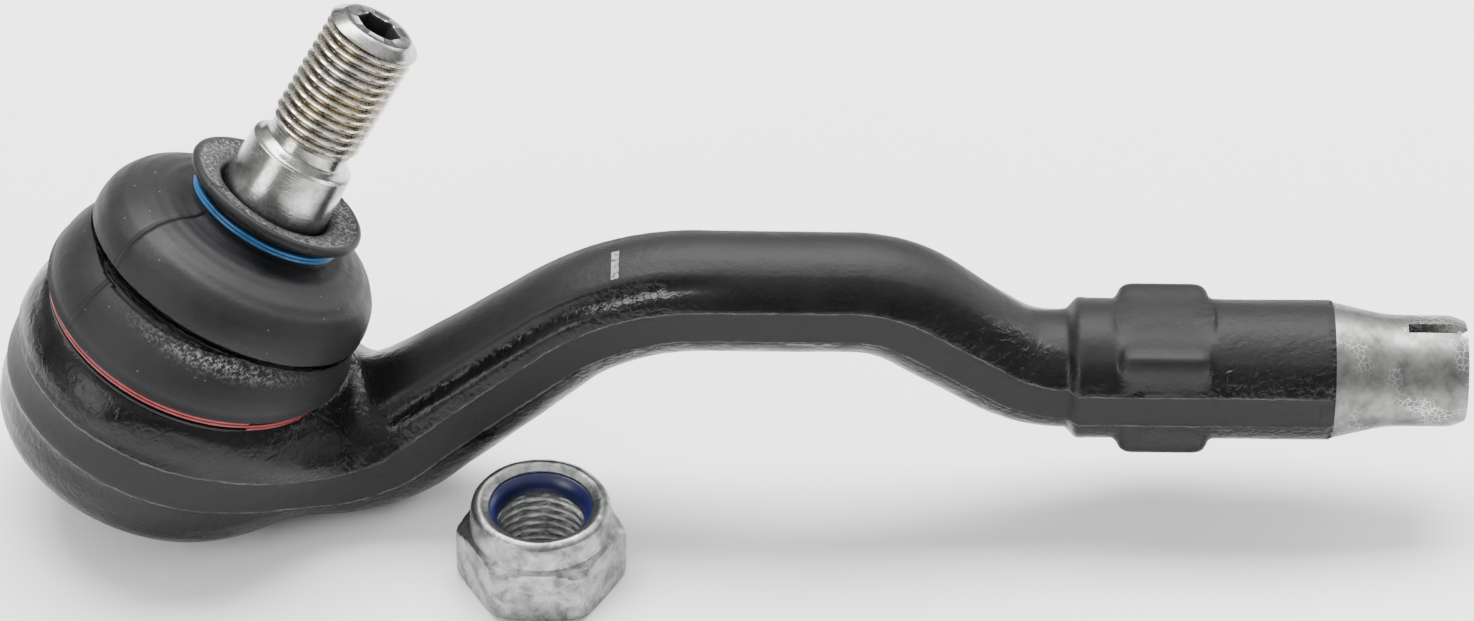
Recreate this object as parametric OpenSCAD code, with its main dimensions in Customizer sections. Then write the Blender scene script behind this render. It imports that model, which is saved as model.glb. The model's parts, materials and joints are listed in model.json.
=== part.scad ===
// Outer tie rod end: a forged, cranked arm with a ball joint at one end and a slotted, internally
// threaded clamping shank at the other, and the lock nut that goes on its stud.
//
// Frame: the origin is the centre of the ball. +X runs along the shank's axis to its open end, +Z is
// up, square to the plane in which the shank was forged, and the arm's bends all lie in Y = 0.
// Millimetres and degrees.

/* [Ball joint] */
// Diameter of the ball
ball_d = 25; // [22:0.5:30]
// Height of the flat under the ball, below its centre
ball_flat_h = 9.5; // [9:0.1:10]
// Diameter of the stud's waist above the ball
waist_d = 13.6; // [12:0.1:14.6]
// Largest swing of the stud to any side of the housing's axis
swing_max = 24; // [15:1:26]
// Swing of the stud from the housing's axis as the part lies
swing_rest = 15.7; // [0:0.1:24]
// Direction of that swing, turned about the housing's axis from the side of the arm
swing_turn = 54.5; // [0:0.5:360]
// Radial clearance of the ball in its races
swivel_gap = 0.08; // [0.02:0.01:0.1]
// Wall of the plastic races
race_wall = 3.2; // [2:0.1:4]
// Gap between the upper and the lower race
race_split = 0.6; // [0.2:0.1:1.5]
// Height of the disc spring under the races, as fitted
spring_h = 2.1; // [1.6:0.05:2.6]
// Thickness of the disc spring's steel
spring_t = 1.2; // [0.6:0.05:1.4]
// Thickness of the closing plate
plate_t = 2.5; // [1.5:0.1:4]

/* [Housing] */
// Tilt of the housing's axis from +Z, towards the arm
housing_tilt = 21; // [0:0.5:25]
// Wall from the race's bore out to the trimmed flash band
band_wall = 8.4; // [7:0.1:11]
// Height of the flash band
band_h = 7; // [4:0.5:8]
// Middle of the flash band, below the ball's centre
band_drop = 4.4; // [3:0.1:6]
// Wall from the bore out to the bottom rim
rim_wall = 5.9; // [3.5:0.1:7]
// Wall from the bore out to the neck that the boot grips
neck_wall = 3.2; // [2:0.1:4]
// Length of the neck above its shoulder, with the lip that keeps the boot on
neck_len = 3.9; // [3.6:0.1:6]
// Thickness of the lip rolled over the closing plate
rolled_lip_t = 1; // [0.5:0.1:1.6]

/* [Arm] */
// Diameter of the arm
arm_d = 17.5; // [14:0.1:20.2]
// Diameter of the arm where it grows out of the housing
root_d = 21.2; // [18:0.1:22]
// Length over which it thins from there to the arm's diameter
root_taper = 26; // [6:0.5:32]
// Height of the trimmed flash band on the arm and shank
flash_h = 5.4; // [3:0.1:7]
// Distance from the ball's centre at which the arm starts to bend up
root_len = 24; // [22:0.5:32]
// Radius of the arm's axis in the bend beside the housing
root_bend_r = 14; // [12:0.5:20]
// Slope of the rising stretch
rise_angle = 39; // [30:0.5:45]
// Radius of the axis in the bend up to the crest
crest_bend_r = 34; // [20:1:40]
// Height of the crest above the shank's axis
crest_z = 14; // [13.5:0.5:22]
// Length of the level crest
crest_len = 21.8; // [5:0.1:60]
// Slope of the falling stretch
drop_angle = 33.5; // [25:0.5:45]
// Radius of the axis in the bend down from the crest
drop_bend_r = 17.5; // [12:0.5:22]
// Radius of the axis in the bend into the shank
foot_bend_r = 17; // [12:0.5:22]

/* [Shank] */
// Diameter of the shank
shank_d = 20.6; // [20.5:0.1:25]
// Length of the step from the arm up to the shank's diameter
step_len = 2; // [1:0.5:5]
// Length of the round shank before the wrench square
shoulder_len = 5.6; // [2:0.1:20]
// Wrench square, across its flats
wrench_af = 19; // [17:1:20]
// Wrench square, across its rounded corners
wrench_corner_d = 25.2; // [24:0.1:27]
// Length of the wrench square
wrench_len = 13.8; // [8:0.1:25]
// Length of the round shank beyond the wrench square
grip_len = 18; // [10:0.1:60]
// Length of the machined clamping cone
cone_len = 8; // [5:0.1:15]
// Outer diameter of the slotted sleeve
sleeve_d = 16.4; // [16:0.1:18]
// Length of the slotted sleeve, with its end chamfer
sleeve_len = 11.7; // [9:0.1:25]
// Length and depth of the chamfer at the sleeve's end
sleeve_chamfer = [2.4, 0.9];
// Bore of the internal thread, at the thread's crests
bore_d = 12.38; // [10:0.01:12.6]
// Depth of the full bore from the sleeve's end
bore_len = 45; // [30:1:48]
// Width of the saw cut
slot_w = 2; // [1:0.1:3]
// Length of the saw cut
slot_len = 8.8; // [5:0.1:11]

/* [Stud] */
// Outer diameter of the stud's thread
thread_d = 14; // [12:0.5:15]
// Length of the thread
thread_len = 17.8; // [12:0.1:25]
// Length of the point beyond the thread, and the diameter of its end face
point = [2.2, 11];
// Diameter and length of the undercut below the thread
undercut = [12.6, 3.1];
// Diameter of the tapered seat at its lower, wide end
seat_d = 16.9; // [16:0.1:18]
// Length of the tapered seat
seat_len = 9.8; // [8:0.1:15]
// Change of the seat's diameter for each millimetre of its length
seat_taper = 0.1; // [0.05:0.005:0.15]
// Distance from the ball's centre to the foot of the seat
seat_foot = 28.4; // [27.5:0.1:34]
// Length of the straight journal that the boot's neck runs on
journal_len = 6; // [5:0.1:6.5]
// Hexagon socket in the stud's end, across its flats
socket_af = 6; // [4:1:6]
// Depth of that socket
socket_depth = 6; // [4:0.5:8]

/* [Boot and rings] */
// Wall of the rubber boot
boot_wall = 2.2; // [1.5:0.1:2.6]
// Clearance between the boot and the parts it grips, which it seals with its squeeze
boot_gap = 0.05; // [0.02:0.01:0.1]
// How far the lower bulge stands out from the bead under the ring
lower_bulge = 1.5; // [1:0.1:4]
// How far the upper bulge lies in from the lower one
upper_bulge_in = 0.9; // [0.5:0.1:4]
// Rise of the boot from the housing's lip to the neck on the stud
boot_rise = 14.8; // [13:0.1:17]
// Share of the stud's swing that the upper bulge follows
bulge_share = 0.75; // [0.4:0.05:0.9]
// Radial thickness of the lower ring's flat wire, and the height of its two turns
lower_ring = [1.4, 1.9];
// Wire diameter of the upper ring and its number of turns
upper_ring = [0.95, 2];
// Wall of the boot's neck under the upper ring
collar_wall = 3; // [2:0.1:4]
// Thickness of the boot's flared top lip
top_lip_t = 1.5; // [0.8:0.1:2]
// How far that lip stands out from the neck
top_lip_out = 2.5; // [1:0.1:3]

/* [Lock nut] */
// Lock nut, across its flats
nut_af = 22; // [20:0.5:24]
// Height of the nut's hexagon
nut_hex_h = 9.6; // [8:0.1:12]
// Whole height of the nut
nut_h = 14; // [13:0.1:18]
// Outer diameter of the collar that holds the nylon insert
nut_collar_d = 20.8; // [20:0.1:22]
// Bore of the nut's thread, at the thread's crests
nut_bore_d = 12.38; // [10:0.01:13]
// Bore of the nylon insert
insert_bore_d = 12.7; // [12.5:0.1:14]
// Outer diameter of the nylon insert
insert_d = 17.2; // [16:0.1:18]
// Where the loose nut stands: along the arm, and in front of it
nut_at = [53.7, -20];

/* [Hidden] */
$fn = 96;
fit_gap = 0.03;                              // between pieces that are fixed to each other
lip_gap = 0.8;                               // race lip to the stud's waist at full swing
mouth_gap = 1.2;                             // housing mouth to the stud's waist at full swing
plate_gap = 1.9;                             // closing plate to the ball's flat at full swing

// Ball joint, on the housing's axis
ball_r = ball_d / 2;
waist_r = waist_d / 2;
race_in_r = ball_r + swivel_gap;
race_out_r = race_in_r + race_wall;
pocket_r = race_out_r + fit_gap;
waist_h = sqrt(ball_r * ball_r - waist_r * waist_r);
race_lip_h = waist_h * cos(swing_max) - waist_r * sin(swing_max) - lip_gap;
pocket_top_h = race_lip_h + 0.6;
ball_dip = ball_r * cos(acos(ball_flat_h / ball_r) - swing_max);
plate_top_h = -(ball_dip + plate_gap);
race_foot_h = plate_top_h + spring_h;
plate_r = pocket_r + 0.7;
plate_foot_h = plate_top_h - plate_t;
housing_foot_h = plate_foot_h - rolled_lip_t;
housing_top_h = pocket_top_h + neck_len;
mouth_r = housing_top_h * tan(swing_max) + waist_r / cos(swing_max) + mouth_gap;
neck_r = pocket_r + neck_wall;
lip_r = neck_r + 0.9;
band_r = pocket_r + band_wall;
rim_r = pocket_r + rim_wall;
shoulder_r = neck_r + 2.8;

// Arm: each step is [length, 0, section radius] for a straight, or [radius of the axis, turn, section
// radius] for a bend
arm_r = arm_d / 2;
root_r = root_d / 2;
step_lap = 0.2;
step_proud = 0.12;
root_turn = housing_tilt + rise_angle;
root_z = -band_drop * cos(housing_tilt) - root_len * sin(housing_tilt)
    + root_bend_r * (cos(housing_tilt) - cos(rise_angle));
rise_len = (crest_z - root_z - crest_bend_r * (1 - cos(rise_angle))) / sin(rise_angle);
drop_len = (crest_z - (drop_bend_r + foot_bend_r) * (1 - cos(drop_angle))) / sin(drop_angle);
STEPS = [
    [root_len, 0, root_r],
    [root_bend_r, root_turn, root_r],
    [rise_len, 0, arm_r],
    [crest_bend_r, -rise_angle, arm_r],
    [crest_len, 0, arm_r],
    [drop_bend_r, -drop_angle, arm_r],
    [drop_len, 0, arm_r],
    [foot_bend_r, drop_angle, arm_r]
];
arm_start = [-band_drop * sin(housing_tilt), -band_drop * cos(housing_tilt), -housing_tilt];

// A place on the arm's axis is [x, z, slope]; the next one follows from the step between them
function next_place(at, step) =
    step[1] == 0
        ? [at[0] + step[0] * cos(at[2]), at[1] + step[0] * sin(at[2]), at[2]]
        : let (to = at[2] + step[1], r = sign(step[1]) * step[0])
          [at[0] + r * (sin(to) - sin(at[2])), at[1] + r * (cos(at[2]) - cos(to)), to];
function place(i) = i == 0 ? arm_start : next_place(place(i - 1), STEPS[i - 1]);

// Shank stations along X
shank_r = shank_d / 2;
sleeve_r = sleeve_d / 2;
step_x = place(len(STEPS))[0];
round_x = step_x + step_len;
wrench_x = round_x + shoulder_len;
grip_x = wrench_x + wrench_len;
cone_x = grip_x + grip_len;
sleeve_x = cone_x + cone_len;
end_x = sleeve_x + sleeve_len;

// Stud, along its own axis from the ball's centre
seat_r = seat_d / 2;
seat_top = seat_foot + seat_len;
seat_top_r = seat_r - seat_len * seat_taper / 2;
journal_r = seat_r - 0.15;
journal_foot = seat_foot - journal_len;
thread_r = thread_d / 2;
thread_foot = seat_top + undercut[1];
thread_top = thread_foot + thread_len;
stud_top = thread_top + point[0];

// Boot: the lower part is round about the housing's axis, the top about the stud's axis, and
// the upper bulge about an axis between the two. The fold lies on a sphere about the ball's centre, so
// it stays closed whichever way the stud leans.
bead_foot_h = pocket_top_h + 0.25;
ring_foot_h = bead_foot_h + 0.6;
ring_top_h = ring_foot_h + lower_ring[1];
bead_r = neck_r + boot_wall;
lower_ring_r = bead_r + lower_ring[0];
lower_bulge_r = bead_r + lower_bulge;
upper_bulge_r = lower_bulge_r - upper_bulge_in;
fold_h = ring_top_h + 5.2;
fold_r = upper_bulge_r - 1.6;
fold_ball_r = sqrt(fold_r * fold_r + fold_h * fold_h) + 0.25;
collar_foot = housing_top_h + boot_rise;
collar_r = journal_r + boot_gap + collar_wall;
top_lip_foot = collar_foot + 1 + 2 * upper_ring[0] + 1.2;
boot_top = top_lip_foot + top_lip_t;
upper_ring_foot = collar_foot + 1;
lower_ring_h = lower_ring[1] - 2 * boot_gap;

// Nut
nut_corner_r = nut_af / sqrt(3);
nut_r = nut_af / 2;
insert_foot = nut_hex_h + 0.4;
insert_top = nut_h - 1.1;
floor_z = housing_foot_h * cos(housing_tilt) - (rim_r - 0.6) * sin(housing_tilt);

// The points of a smooth curve from a to c that heads for b and is drawn away from it
function bow(a, b, c, n = 8) = [
    for (i = [0 : n])
        let (t = i / n)
        (1 - t) * (1 - t) * a + 2 * t * (1 - t) * b + t * t * c
];

module on_housing_axis() {
    rotate([0, housing_tilt, 0]) children();
}

// Tilted by a share of the rest swing, from 0 on the housing's axis to 1 on the stud's
module on_swung_axis(share = 1) {
    on_housing_axis()
        rotate([0, 0, swing_turn])
            rotate([0, share * swing_rest, 0])
                rotate([0, 0, -swing_turn])
                    children();
}

module along_x(x) {
    translate([x, 0, 0]) rotate([0, 90, 0]) children();
}

// A round section with its two sides cut flat by the trimming of the flash
module flashed_round(r) {
    intersection() {
        circle(r);
        square([2 * r + 1, 2 * sqrt(r * r - flash_h * flash_h / 4)], center = true);
    }
}

// One step of the arm, starting at the origin along +X. A straight is a hair thicker than the bends
// and reaches a little way into them, so that the steps join into one solid.
module arm_step(step) {
    if (step[1] == 0) {
        along_x(-step_lap) linear_extrude(step[0] + 2 * step_lap) flashed_round(step[2] + step_proud);
    } else {
        mirror([0, 0, step[1] < 0 ? 1 : 0])
            translate([0, 0, step[0]])
                rotate([90, 0, 0])
                    rotate([0, 0, -90])
                        rotate_extrude(angle = abs(step[1]))
                            translate([step[0], 0]) flashed_round(step[2]);
    }
}

module arm() {
    for (i = [0 : len(STEPS) - 1]) {
        at = place(i);
        translate([at[0], 0, at[1]]) rotate([0, -at[2], 0]) arm_step(STEPS[i]);
    }
    translate([place(2)[0], 0, place(2)[1]])
        rotate([0, -rise_angle, 0])
            along_x(-step_lap) cylinder(r1 = root_r - 0.6, r2 = arm_r - 0.7, h = root_taper);
}

// The outside of the housing, about its own axis
module housing_blank() {
    band_top = band_h / 2 - band_drop;
    band_foot = -band_h / 2 - band_drop;
    rotate_extrude()
        polygon(concat(
            [[0, housing_foot_h], [rim_r - 0.6, housing_foot_h]],
            bow([rim_r, housing_foot_h + 0.6], [band_r - 0.3, housing_foot_h + 2.2], [band_r - 0.5, band_foot - 0.5]),
            [[band_r, band_foot], [band_r, band_top]],
            bow([band_r - 0.5, band_top + 0.5], [band_r - 1.2, pocket_top_h - 2], [shoulder_r, pocket_top_h]),
            [
                [neck_r, pocket_top_h],
                [neck_r, housing_top_h - 0.8],
                [lip_r, housing_top_h - 0.8],
                [lip_r, housing_top_h - 0.2],
                [lip_r - 0.2, housing_top_h],
                [0, housing_top_h]
            ]
        ));
}

// The flare between the housing and the arm: a cone that starts inside the housing, cut off above and,
// more deeply towards the housing, below
module arm_root() {
    start = band_r / 3;
    start_r = sqrt(band_r * band_r - start * start) - 0.3;
    flare_len = root_len + 6 - start;
    top = root_r - 1.4;
    translate([start, 0, -band_drop])
        intersection() {
            rotate([0, 90, 0]) cylinder(h = flare_len, r1 = start_r, r2 = root_r + 1);
            rotate([90, 0, 0])
                linear_extrude(2 * band_r + 2, center = true)
                    polygon([[-1, top], [flare_len + 1, top], [flare_len + 1, 1.6 - root_r], [-1, -root_r - 1.4]]);
        }
}

module housing_cavity() {
    mouth_foot_r = sqrt(pocket_r * pocket_r - pocket_top_h * pocket_top_h);
    translate([0, 0, housing_foot_h - 1]) cylinder(r = plate_r - 1.6, h = 3);
    translate([0, 0, plate_foot_h]) cylinder(r = plate_r + fit_gap, h = plate_t);
    translate([0, 0, plate_top_h - 0.01]) cylinder(r = pocket_r, h = -plate_top_h + 0.01);
    intersection() {
        sphere(pocket_r);
        cylinder(r = pocket_r + 1, h = pocket_top_h);
    }
    translate([0, 0, pocket_top_h - 0.01])
        cylinder(r1 = mouth_foot_r, r2 = mouth_r, h = housing_top_h - pocket_top_h + 0.01);
    translate([0, 0, housing_top_h - 0.01]) cylinder(r = mouth_r, h = 1);
}

module wrench_square() {
    rotate([0, 90, 0])
        linear_extrude(wrench_len)
            intersection() {
                square(wrench_af, center = true);
                circle(d = wrench_corner_d);
            }
}

module shank_blank() {
    along_x(step_x - step_lap) cylinder(r = arm_r - 0.6, h = 1);
    along_x(step_x) cylinder(r1 = arm_r - 0.6, r2 = shank_r - 0.2, h = step_len);
    along_x(round_x) linear_extrude(cone_x - round_x) flashed_round(shank_r);
    translate([wrench_x, 0, 0]) wrench_square();
    along_x(cone_x) cylinder(r1 = shank_r - 0.2, r2 = sleeve_r, h = cone_len);
    along_x(sleeve_x) cylinder(r = sleeve_r, h = sleeve_len - sleeve_chamfer[0]);
    along_x(end_x - sleeve_chamfer[0])
        cylinder(r1 = sleeve_r, r2 = sleeve_r - sleeve_chamfer[1], h = sleeve_chamfer[0]);
}

module shank_cuts() {
    drill_point = 3;
    along_x(end_x - bore_len) cylinder(d = bore_d, h = bore_len + 1);
    along_x(end_x - bore_len - drill_point) cylinder(d1 = 1, d2 = bore_d, h = drill_point);
    translate([end_x - slot_len, -slot_w / 2, -shank_r]) cube([slot_len + 1, slot_w, 2 * shank_r]);
    for (side = [0, 1])
        mirror([0, 0, side])
            translate([wrench_x, -shank_r, wrench_af / 2]) cube([wrench_len, 2 * shank_r, shank_r]);
}

module housing_arm() {
    color([0.10, 0.10, 0.11])
        difference() {
            union() {
                on_housing_axis() {
                    housing_blank();
                    arm_root();
                }
                arm();
                shank_blank();
            }
            on_housing_axis() housing_cavity();
            shank_cuts();
        }
}

module closing_plate() {
    dimple_r = 9;
    color([0.72, 0.72, 0.74])
        on_housing_axis()
            difference() {
                translate([0, 0, plate_foot_h]) cylinder(r = plate_r, h = plate_t - fit_gap);
                translate([0, 0, plate_foot_h - 1]) cylinder(r1 = dimple_r + 1, r2 = dimple_r - 0.6, h = 1.6);
            }
}

module preload_spring() {
    inner_r = race_out_r - 7.8;
    outer_r = race_out_r - 1.8;
    foot_h = plate_top_h + fit_gap;
    top_h = race_foot_h - fit_gap;
    color([0.45, 0.47, 0.50])
        on_housing_axis()
            rotate_extrude()
                polygon([
                    [inner_r, top_h],
                    [inner_r, top_h - spring_t],
                    [outer_r, foot_h],
                    [outer_r, foot_h + spring_t]
                ]);
}

// Six grease grooves in a race's bearing face
module grease_grooves() {
    groove_w = 1.4;
    groove_depth = 0.7;
    for (a = [0 : 60 : 300])
        rotate([0, 0, a + 30])
            rotate([90, 0, 0])
                translate([0, 0, -groove_w / 2])
                    intersection() {
                        cylinder(r = race_in_r + groove_depth, h = groove_w);
                        translate([0, -race_in_r - 1, 0]) cube([race_in_r + 2, 2 * race_in_r + 2, groove_w]);
                    }
}

module lower_race() {
    color([0.93, 0.92, 0.88])
        on_housing_axis()
            difference() {
                translate([0, 0, race_foot_h]) cylinder(r = race_out_r, h = -race_foot_h - race_split / 2);
                sphere(race_in_r);
                grease_grooves();
            }
}

module upper_race() {
    color([0.93, 0.92, 0.88])
        on_housing_axis()
            difference() {
                intersection() {
                    sphere(race_out_r);
                    translate([0, 0, race_split / 2])
                        cylinder(r = race_out_r + 1, h = race_lip_h - race_split / 2);
                }
                sphere(race_in_r);
                grease_grooves();
            }
}

module ball_stud() {
    color([0.74, 0.74, 0.76])
        on_swung_axis()
            difference() {
                union() {
                    difference() {
                        sphere(ball_r);
                        translate([0, 0, -ball_r - ball_flat_h]) cube(2 * ball_r, center = true);
                    }
                    rotate_extrude()
                        polygon(concat(
                            [[0, 0], [waist_r, 0], [waist_r, waist_h + 3]],
                            bow([waist_r, waist_h + 3], [waist_r, journal_foot - 2], [journal_r - 0.4, journal_foot]),
                            [
                                [journal_r, journal_foot + 0.4],
                                [journal_r, seat_foot],
                                [seat_r, seat_foot],
                                [seat_top_r, seat_top],
                                [undercut[0] / 2 + 0.3, seat_top + 0.35],
                                [undercut[0] / 2, seat_top + 0.7],
                                [undercut[0] / 2, thread_foot - 0.3],
                                [thread_r, thread_foot],
                                [thread_r, thread_top],
                                [point[1] / 2 + 0.3, stud_top - 0.3],
                                [point[1] / 2, stud_top],
                                [0, stud_top]
                            ]
                        ));
                }
                translate([0, 0, stud_top - socket_depth])
                    rotate([0, 0, 30])
                        cylinder(d = socket_af / cos(30), h = socket_depth + 1, $fn = 6);
            }
}

// One half of the boot's wall: its outside when inset is 0, the space inside it when inset is the wall
module boot_lower(inset) {
    rotate_extrude()
        polygon(concat(
            [[0, ring_top_h], [bead_r + 1 - inset, ring_top_h]],
            bow([bead_r + 1 - inset, ring_top_h], [lower_bulge_r + 0.6 - inset, ring_top_h + 0.4],
                [lower_bulge_r - inset, ring_top_h + 2.2]),
            bow([lower_bulge_r - inset, ring_top_h + 2.2], [lower_bulge_r - 0.8 - inset, ring_top_h + 4.4],
                [fold_r - inset, fold_h]),
            [[0, fold_h]]
        ));
}

module boot_upper(inset) {
    rotate_extrude()
        polygon(concat(
            [[0, fold_h], [fold_r - inset, fold_h]],
            bow([fold_r - inset, fold_h], [upper_bulge_r + 0.8 - inset, fold_h + 1],
                [upper_bulge_r - inset, fold_h + 3.6]),
            bow([upper_bulge_r - inset, fold_h + 3.6], [upper_bulge_r - 0.4 - inset, fold_h + 9.2],
                [collar_r + 2.6 - inset, collar_foot - inset]),
            [[0, collar_foot - inset]]
        ));
}

// The wall between the two bulges
module boot_fold(inset) {
    intersection() {
        sphere(fold_ball_r - inset);
        translate([0, 0, ring_top_h]) cylinder(r = fold_ball_r + 1, h = fold_ball_r);
    }
}

module dust_boot() {
    groove_r = collar_r - 0.5;
    color([0.13, 0.13, 0.14])
        difference() {
            union() {
                on_housing_axis()
                    rotate_extrude()
                        polygon([
                            [0, bead_foot_h],
                            [lower_ring_r - 0.3, bead_foot_h],
                            [lower_ring_r - 0.3, ring_foot_h],
                            [bead_r, ring_foot_h],
                            [bead_r, ring_top_h],
                            [0, ring_top_h]
                        ]);
                on_housing_axis() boot_lower(0);
                on_housing_axis() boot_fold(0);
                on_swung_axis(bulge_share) boot_upper(0);
                on_swung_axis()
                    rotate_extrude()
                        polygon([
                            [0, collar_foot - 5],
                            [collar_r + 3, collar_foot - 3],
                            [collar_r, collar_foot + 0.4],
                            [collar_r, upper_ring_foot],
                            [groove_r, upper_ring_foot],
                            [groove_r, upper_ring_foot + 2 * upper_ring[0]],
                            [collar_r, upper_ring_foot + 2 * upper_ring[0]],
                            [collar_r + top_lip_out - 0.5, top_lip_foot],
                            [collar_r + top_lip_out, boot_top - 0.3],
                            [collar_r + top_lip_out - 0.3, boot_top],
                            [0, boot_top]
                        ]);
            }
            on_housing_axis() {
                translate([0, 0, bead_foot_h - 1]) cylinder(r = neck_r + boot_gap, h = ring_top_h - bead_foot_h + 2);
                translate([0, 0, housing_top_h - 0.8 - boot_gap])
                    cylinder(r = lip_r + boot_gap, h = ring_top_h - housing_top_h + 2.4);
                boot_lower(boot_wall);
                boot_fold(boot_wall);
            }
            on_swung_axis(bulge_share) boot_upper(boot_wall);
            on_swung_axis() translate([0, 0, collar_foot - 8]) cylinder(r = journal_r + boot_gap, h = 20);
            on_swung_axis()
                translate([0, 0, seat_foot - 0.2]) cylinder(r = seat_r + 0.25, h = 10);
        }
}

module lower_boot_ring() {
    color([0.62, 0.10, 0.10])
        on_housing_axis()
            translate([0, 0, ring_foot_h + boot_gap])
                rotate_extrude()
                    translate([bead_r + boot_gap, 0]) square([lower_ring[0], lower_ring_h]);
}

module upper_boot_ring() {
    wire_r = upper_ring[0] / 2 - boot_gap / 2;
    color([0.10, 0.38, 0.66])
        on_swung_axis()
            rotate_extrude()
                translate([collar_r - 0.5 + boot_gap, upper_ring_foot + boot_gap])
                    square([2 * wire_r, 2 * upper_ring[0] - 2 * boot_gap]);
}

module at_nut() {
    translate([nut_at[0], nut_at[1], floor_z]) children();
}

module lock_nut() {
    color([0.70, 0.70, 0.68])
        at_nut()
            difference() {
                union() {
                    intersection() {
                        cylinder(r = nut_corner_r, h = nut_hex_h, $fn = 6);
                        cylinder(r1 = nut_r - 0.4 + 6, r2 = nut_r - 0.4, h = nut_hex_h + 2.2);
                        cylinder(r1 = nut_r - 0.4, r2 = nut_r - 0.4 + 20, h = 20 * tan(30));
                    }
                    cylinder(d = nut_collar_d, h = nut_h - 0.9);
                    translate([0, 0, nut_h - 0.9])
                        cylinder(d1 = nut_collar_d, d2 = nut_collar_d - 2.2, h = 0.9);
                }
                translate([0, 0, -1]) cylinder(d = nut_bore_d, h = nut_h + 2);
                translate([0, 0, -0.01]) cylinder(d1 = thread_d + 0.4, d2 = nut_bore_d, h = 0.9);
                translate([0, 0, insert_foot - fit_gap])
                    cylinder(d = insert_d + 2 * fit_gap, h = insert_top - insert_foot + 2 * fit_gap);
                translate([0, 0, insert_top]) cylinder(d = insert_d - 2, h = 3);
            }
}

module nylon_insert() {
    color([0.09, 0.12, 0.32])
        at_nut()
            difference() {
                translate([0, 0, insert_foot]) cylinder(d = insert_d, h = insert_top - insert_foot);
                translate([0, 0, insert_foot - 1]) cylinder(d = insert_bore_d, h = nut_h);
                translate([0, 0, insert_top - 1.2])
                    cylinder(d1 = insert_bore_d, d2 = insert_bore_d + 1.6, h = 1.21);
            }
}

housing_arm();
closing_plate();
preload_spring();
lower_race();
upper_race();
ball_stud();
dust_boot();
lower_boot_ring();
upper_boot_ring();
lock_nut();
nylon_insert();
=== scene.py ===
import bpy, json, math
import numpy as np
from mathutils import Matrix, Vector

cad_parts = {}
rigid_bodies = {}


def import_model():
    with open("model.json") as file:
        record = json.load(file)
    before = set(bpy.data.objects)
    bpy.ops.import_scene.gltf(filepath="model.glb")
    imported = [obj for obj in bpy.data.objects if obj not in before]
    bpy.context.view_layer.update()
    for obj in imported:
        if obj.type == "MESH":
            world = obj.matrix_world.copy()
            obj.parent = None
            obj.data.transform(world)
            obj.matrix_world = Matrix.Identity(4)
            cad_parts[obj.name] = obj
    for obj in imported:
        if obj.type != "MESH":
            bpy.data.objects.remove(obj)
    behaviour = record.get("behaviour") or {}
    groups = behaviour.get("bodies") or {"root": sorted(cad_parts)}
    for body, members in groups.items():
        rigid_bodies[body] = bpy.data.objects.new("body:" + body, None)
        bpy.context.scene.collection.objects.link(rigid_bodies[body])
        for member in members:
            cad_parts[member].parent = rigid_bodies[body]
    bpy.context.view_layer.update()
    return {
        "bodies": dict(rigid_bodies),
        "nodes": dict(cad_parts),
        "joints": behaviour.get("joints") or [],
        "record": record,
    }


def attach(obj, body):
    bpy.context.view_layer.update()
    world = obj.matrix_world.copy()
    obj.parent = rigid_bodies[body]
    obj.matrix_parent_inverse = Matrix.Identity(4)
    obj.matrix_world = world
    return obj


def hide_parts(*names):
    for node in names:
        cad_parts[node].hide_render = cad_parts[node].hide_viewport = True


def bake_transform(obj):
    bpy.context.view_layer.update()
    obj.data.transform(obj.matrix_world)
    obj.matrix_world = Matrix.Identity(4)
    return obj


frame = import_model()
print("frame loaded:", len(frame["nodes"]), "nodes")

mm = 0.001  # everything below is worked out in millimetres


def turnY(degrees):  # turning matrices, right-handed
    c, s = math.cos(math.radians(degrees)), math.sin(math.radians(degrees))
    return np.array([[c, 0, s], [0, 1, 0], [-s, 0, c]])


def turnZ(degrees):
    c, s = math.cos(math.radians(degrees)), math.sin(math.radians(degrees))
    return np.array([[c, -s, 0], [s, c, 0], [0, 0, 1]])


def smoothstep(x, low, high):  # 0 below low, 1 above high, 3t^2 - 2t^3 between
    t = np.clip((x - low) / (high - low), 0, 1)
    return t * t * (3 - 2 * t)


def bell(x, middle, width):  # exp(-t^2), 1 at the middle
    return np.exp(-(((x - middle) / width) ** 2))


def smoothMin(a, b, k):  # the smaller of two distances, with a fillet of about k where they cross
    h = np.clip(0.5 + 0.5 * (b - a) / k, 0, 1)
    return b * (1 - h) + a * h - k * h * (1 - h)


def smoothMax(a, b, k):
    return -smoothMin(-a, -b, k)


def smoothTable(stations, values, softness=6.0):
    # straight lines between the stations, rolled with a cosine window so that no kink is left
    fine = np.arange(stations[0] - 20, stations[-1] + 20, 0.5)
    window = np.hanning(int(softness / 0.5) + 3)
    rolled = np.convolve(np.pad(np.interp(fine, stations, values), len(window), mode="edge"),
                         window / window.sum(), mode="same")[len(window):-len(window)]
    return lambda s: np.interp(s, fine, rolled)


def roundedLine(corners, steps=5):
    # corners are (r, z, radius): each corner is replaced by a curve from one side to the other
    points = np.array([c[:2] for c in corners], float)
    line = [points[0]]
    for i in range(1, len(points) - 1):
        radius = corners[i][2] if len(corners[i]) > 2 else 0
        if not radius:
            line.append(points[i])
            continue
        before, after = points[i - 1] - points[i], points[i + 1] - points[i]
        cut = min(radius, 0.49 * np.linalg.norm(before), 0.49 * np.linalg.norm(after))
        a = points[i] + before / np.linalg.norm(before) * cut
        b = points[i] + after / np.linalg.norm(after) * cut
        for t in np.linspace(0, 1, steps + 1):
            line.append((1 - t) ** 2 * a + 2 * t * (1 - t) * points[i] + t * t * b)
    line.append(points[-1])
    return np.array(line)


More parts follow.
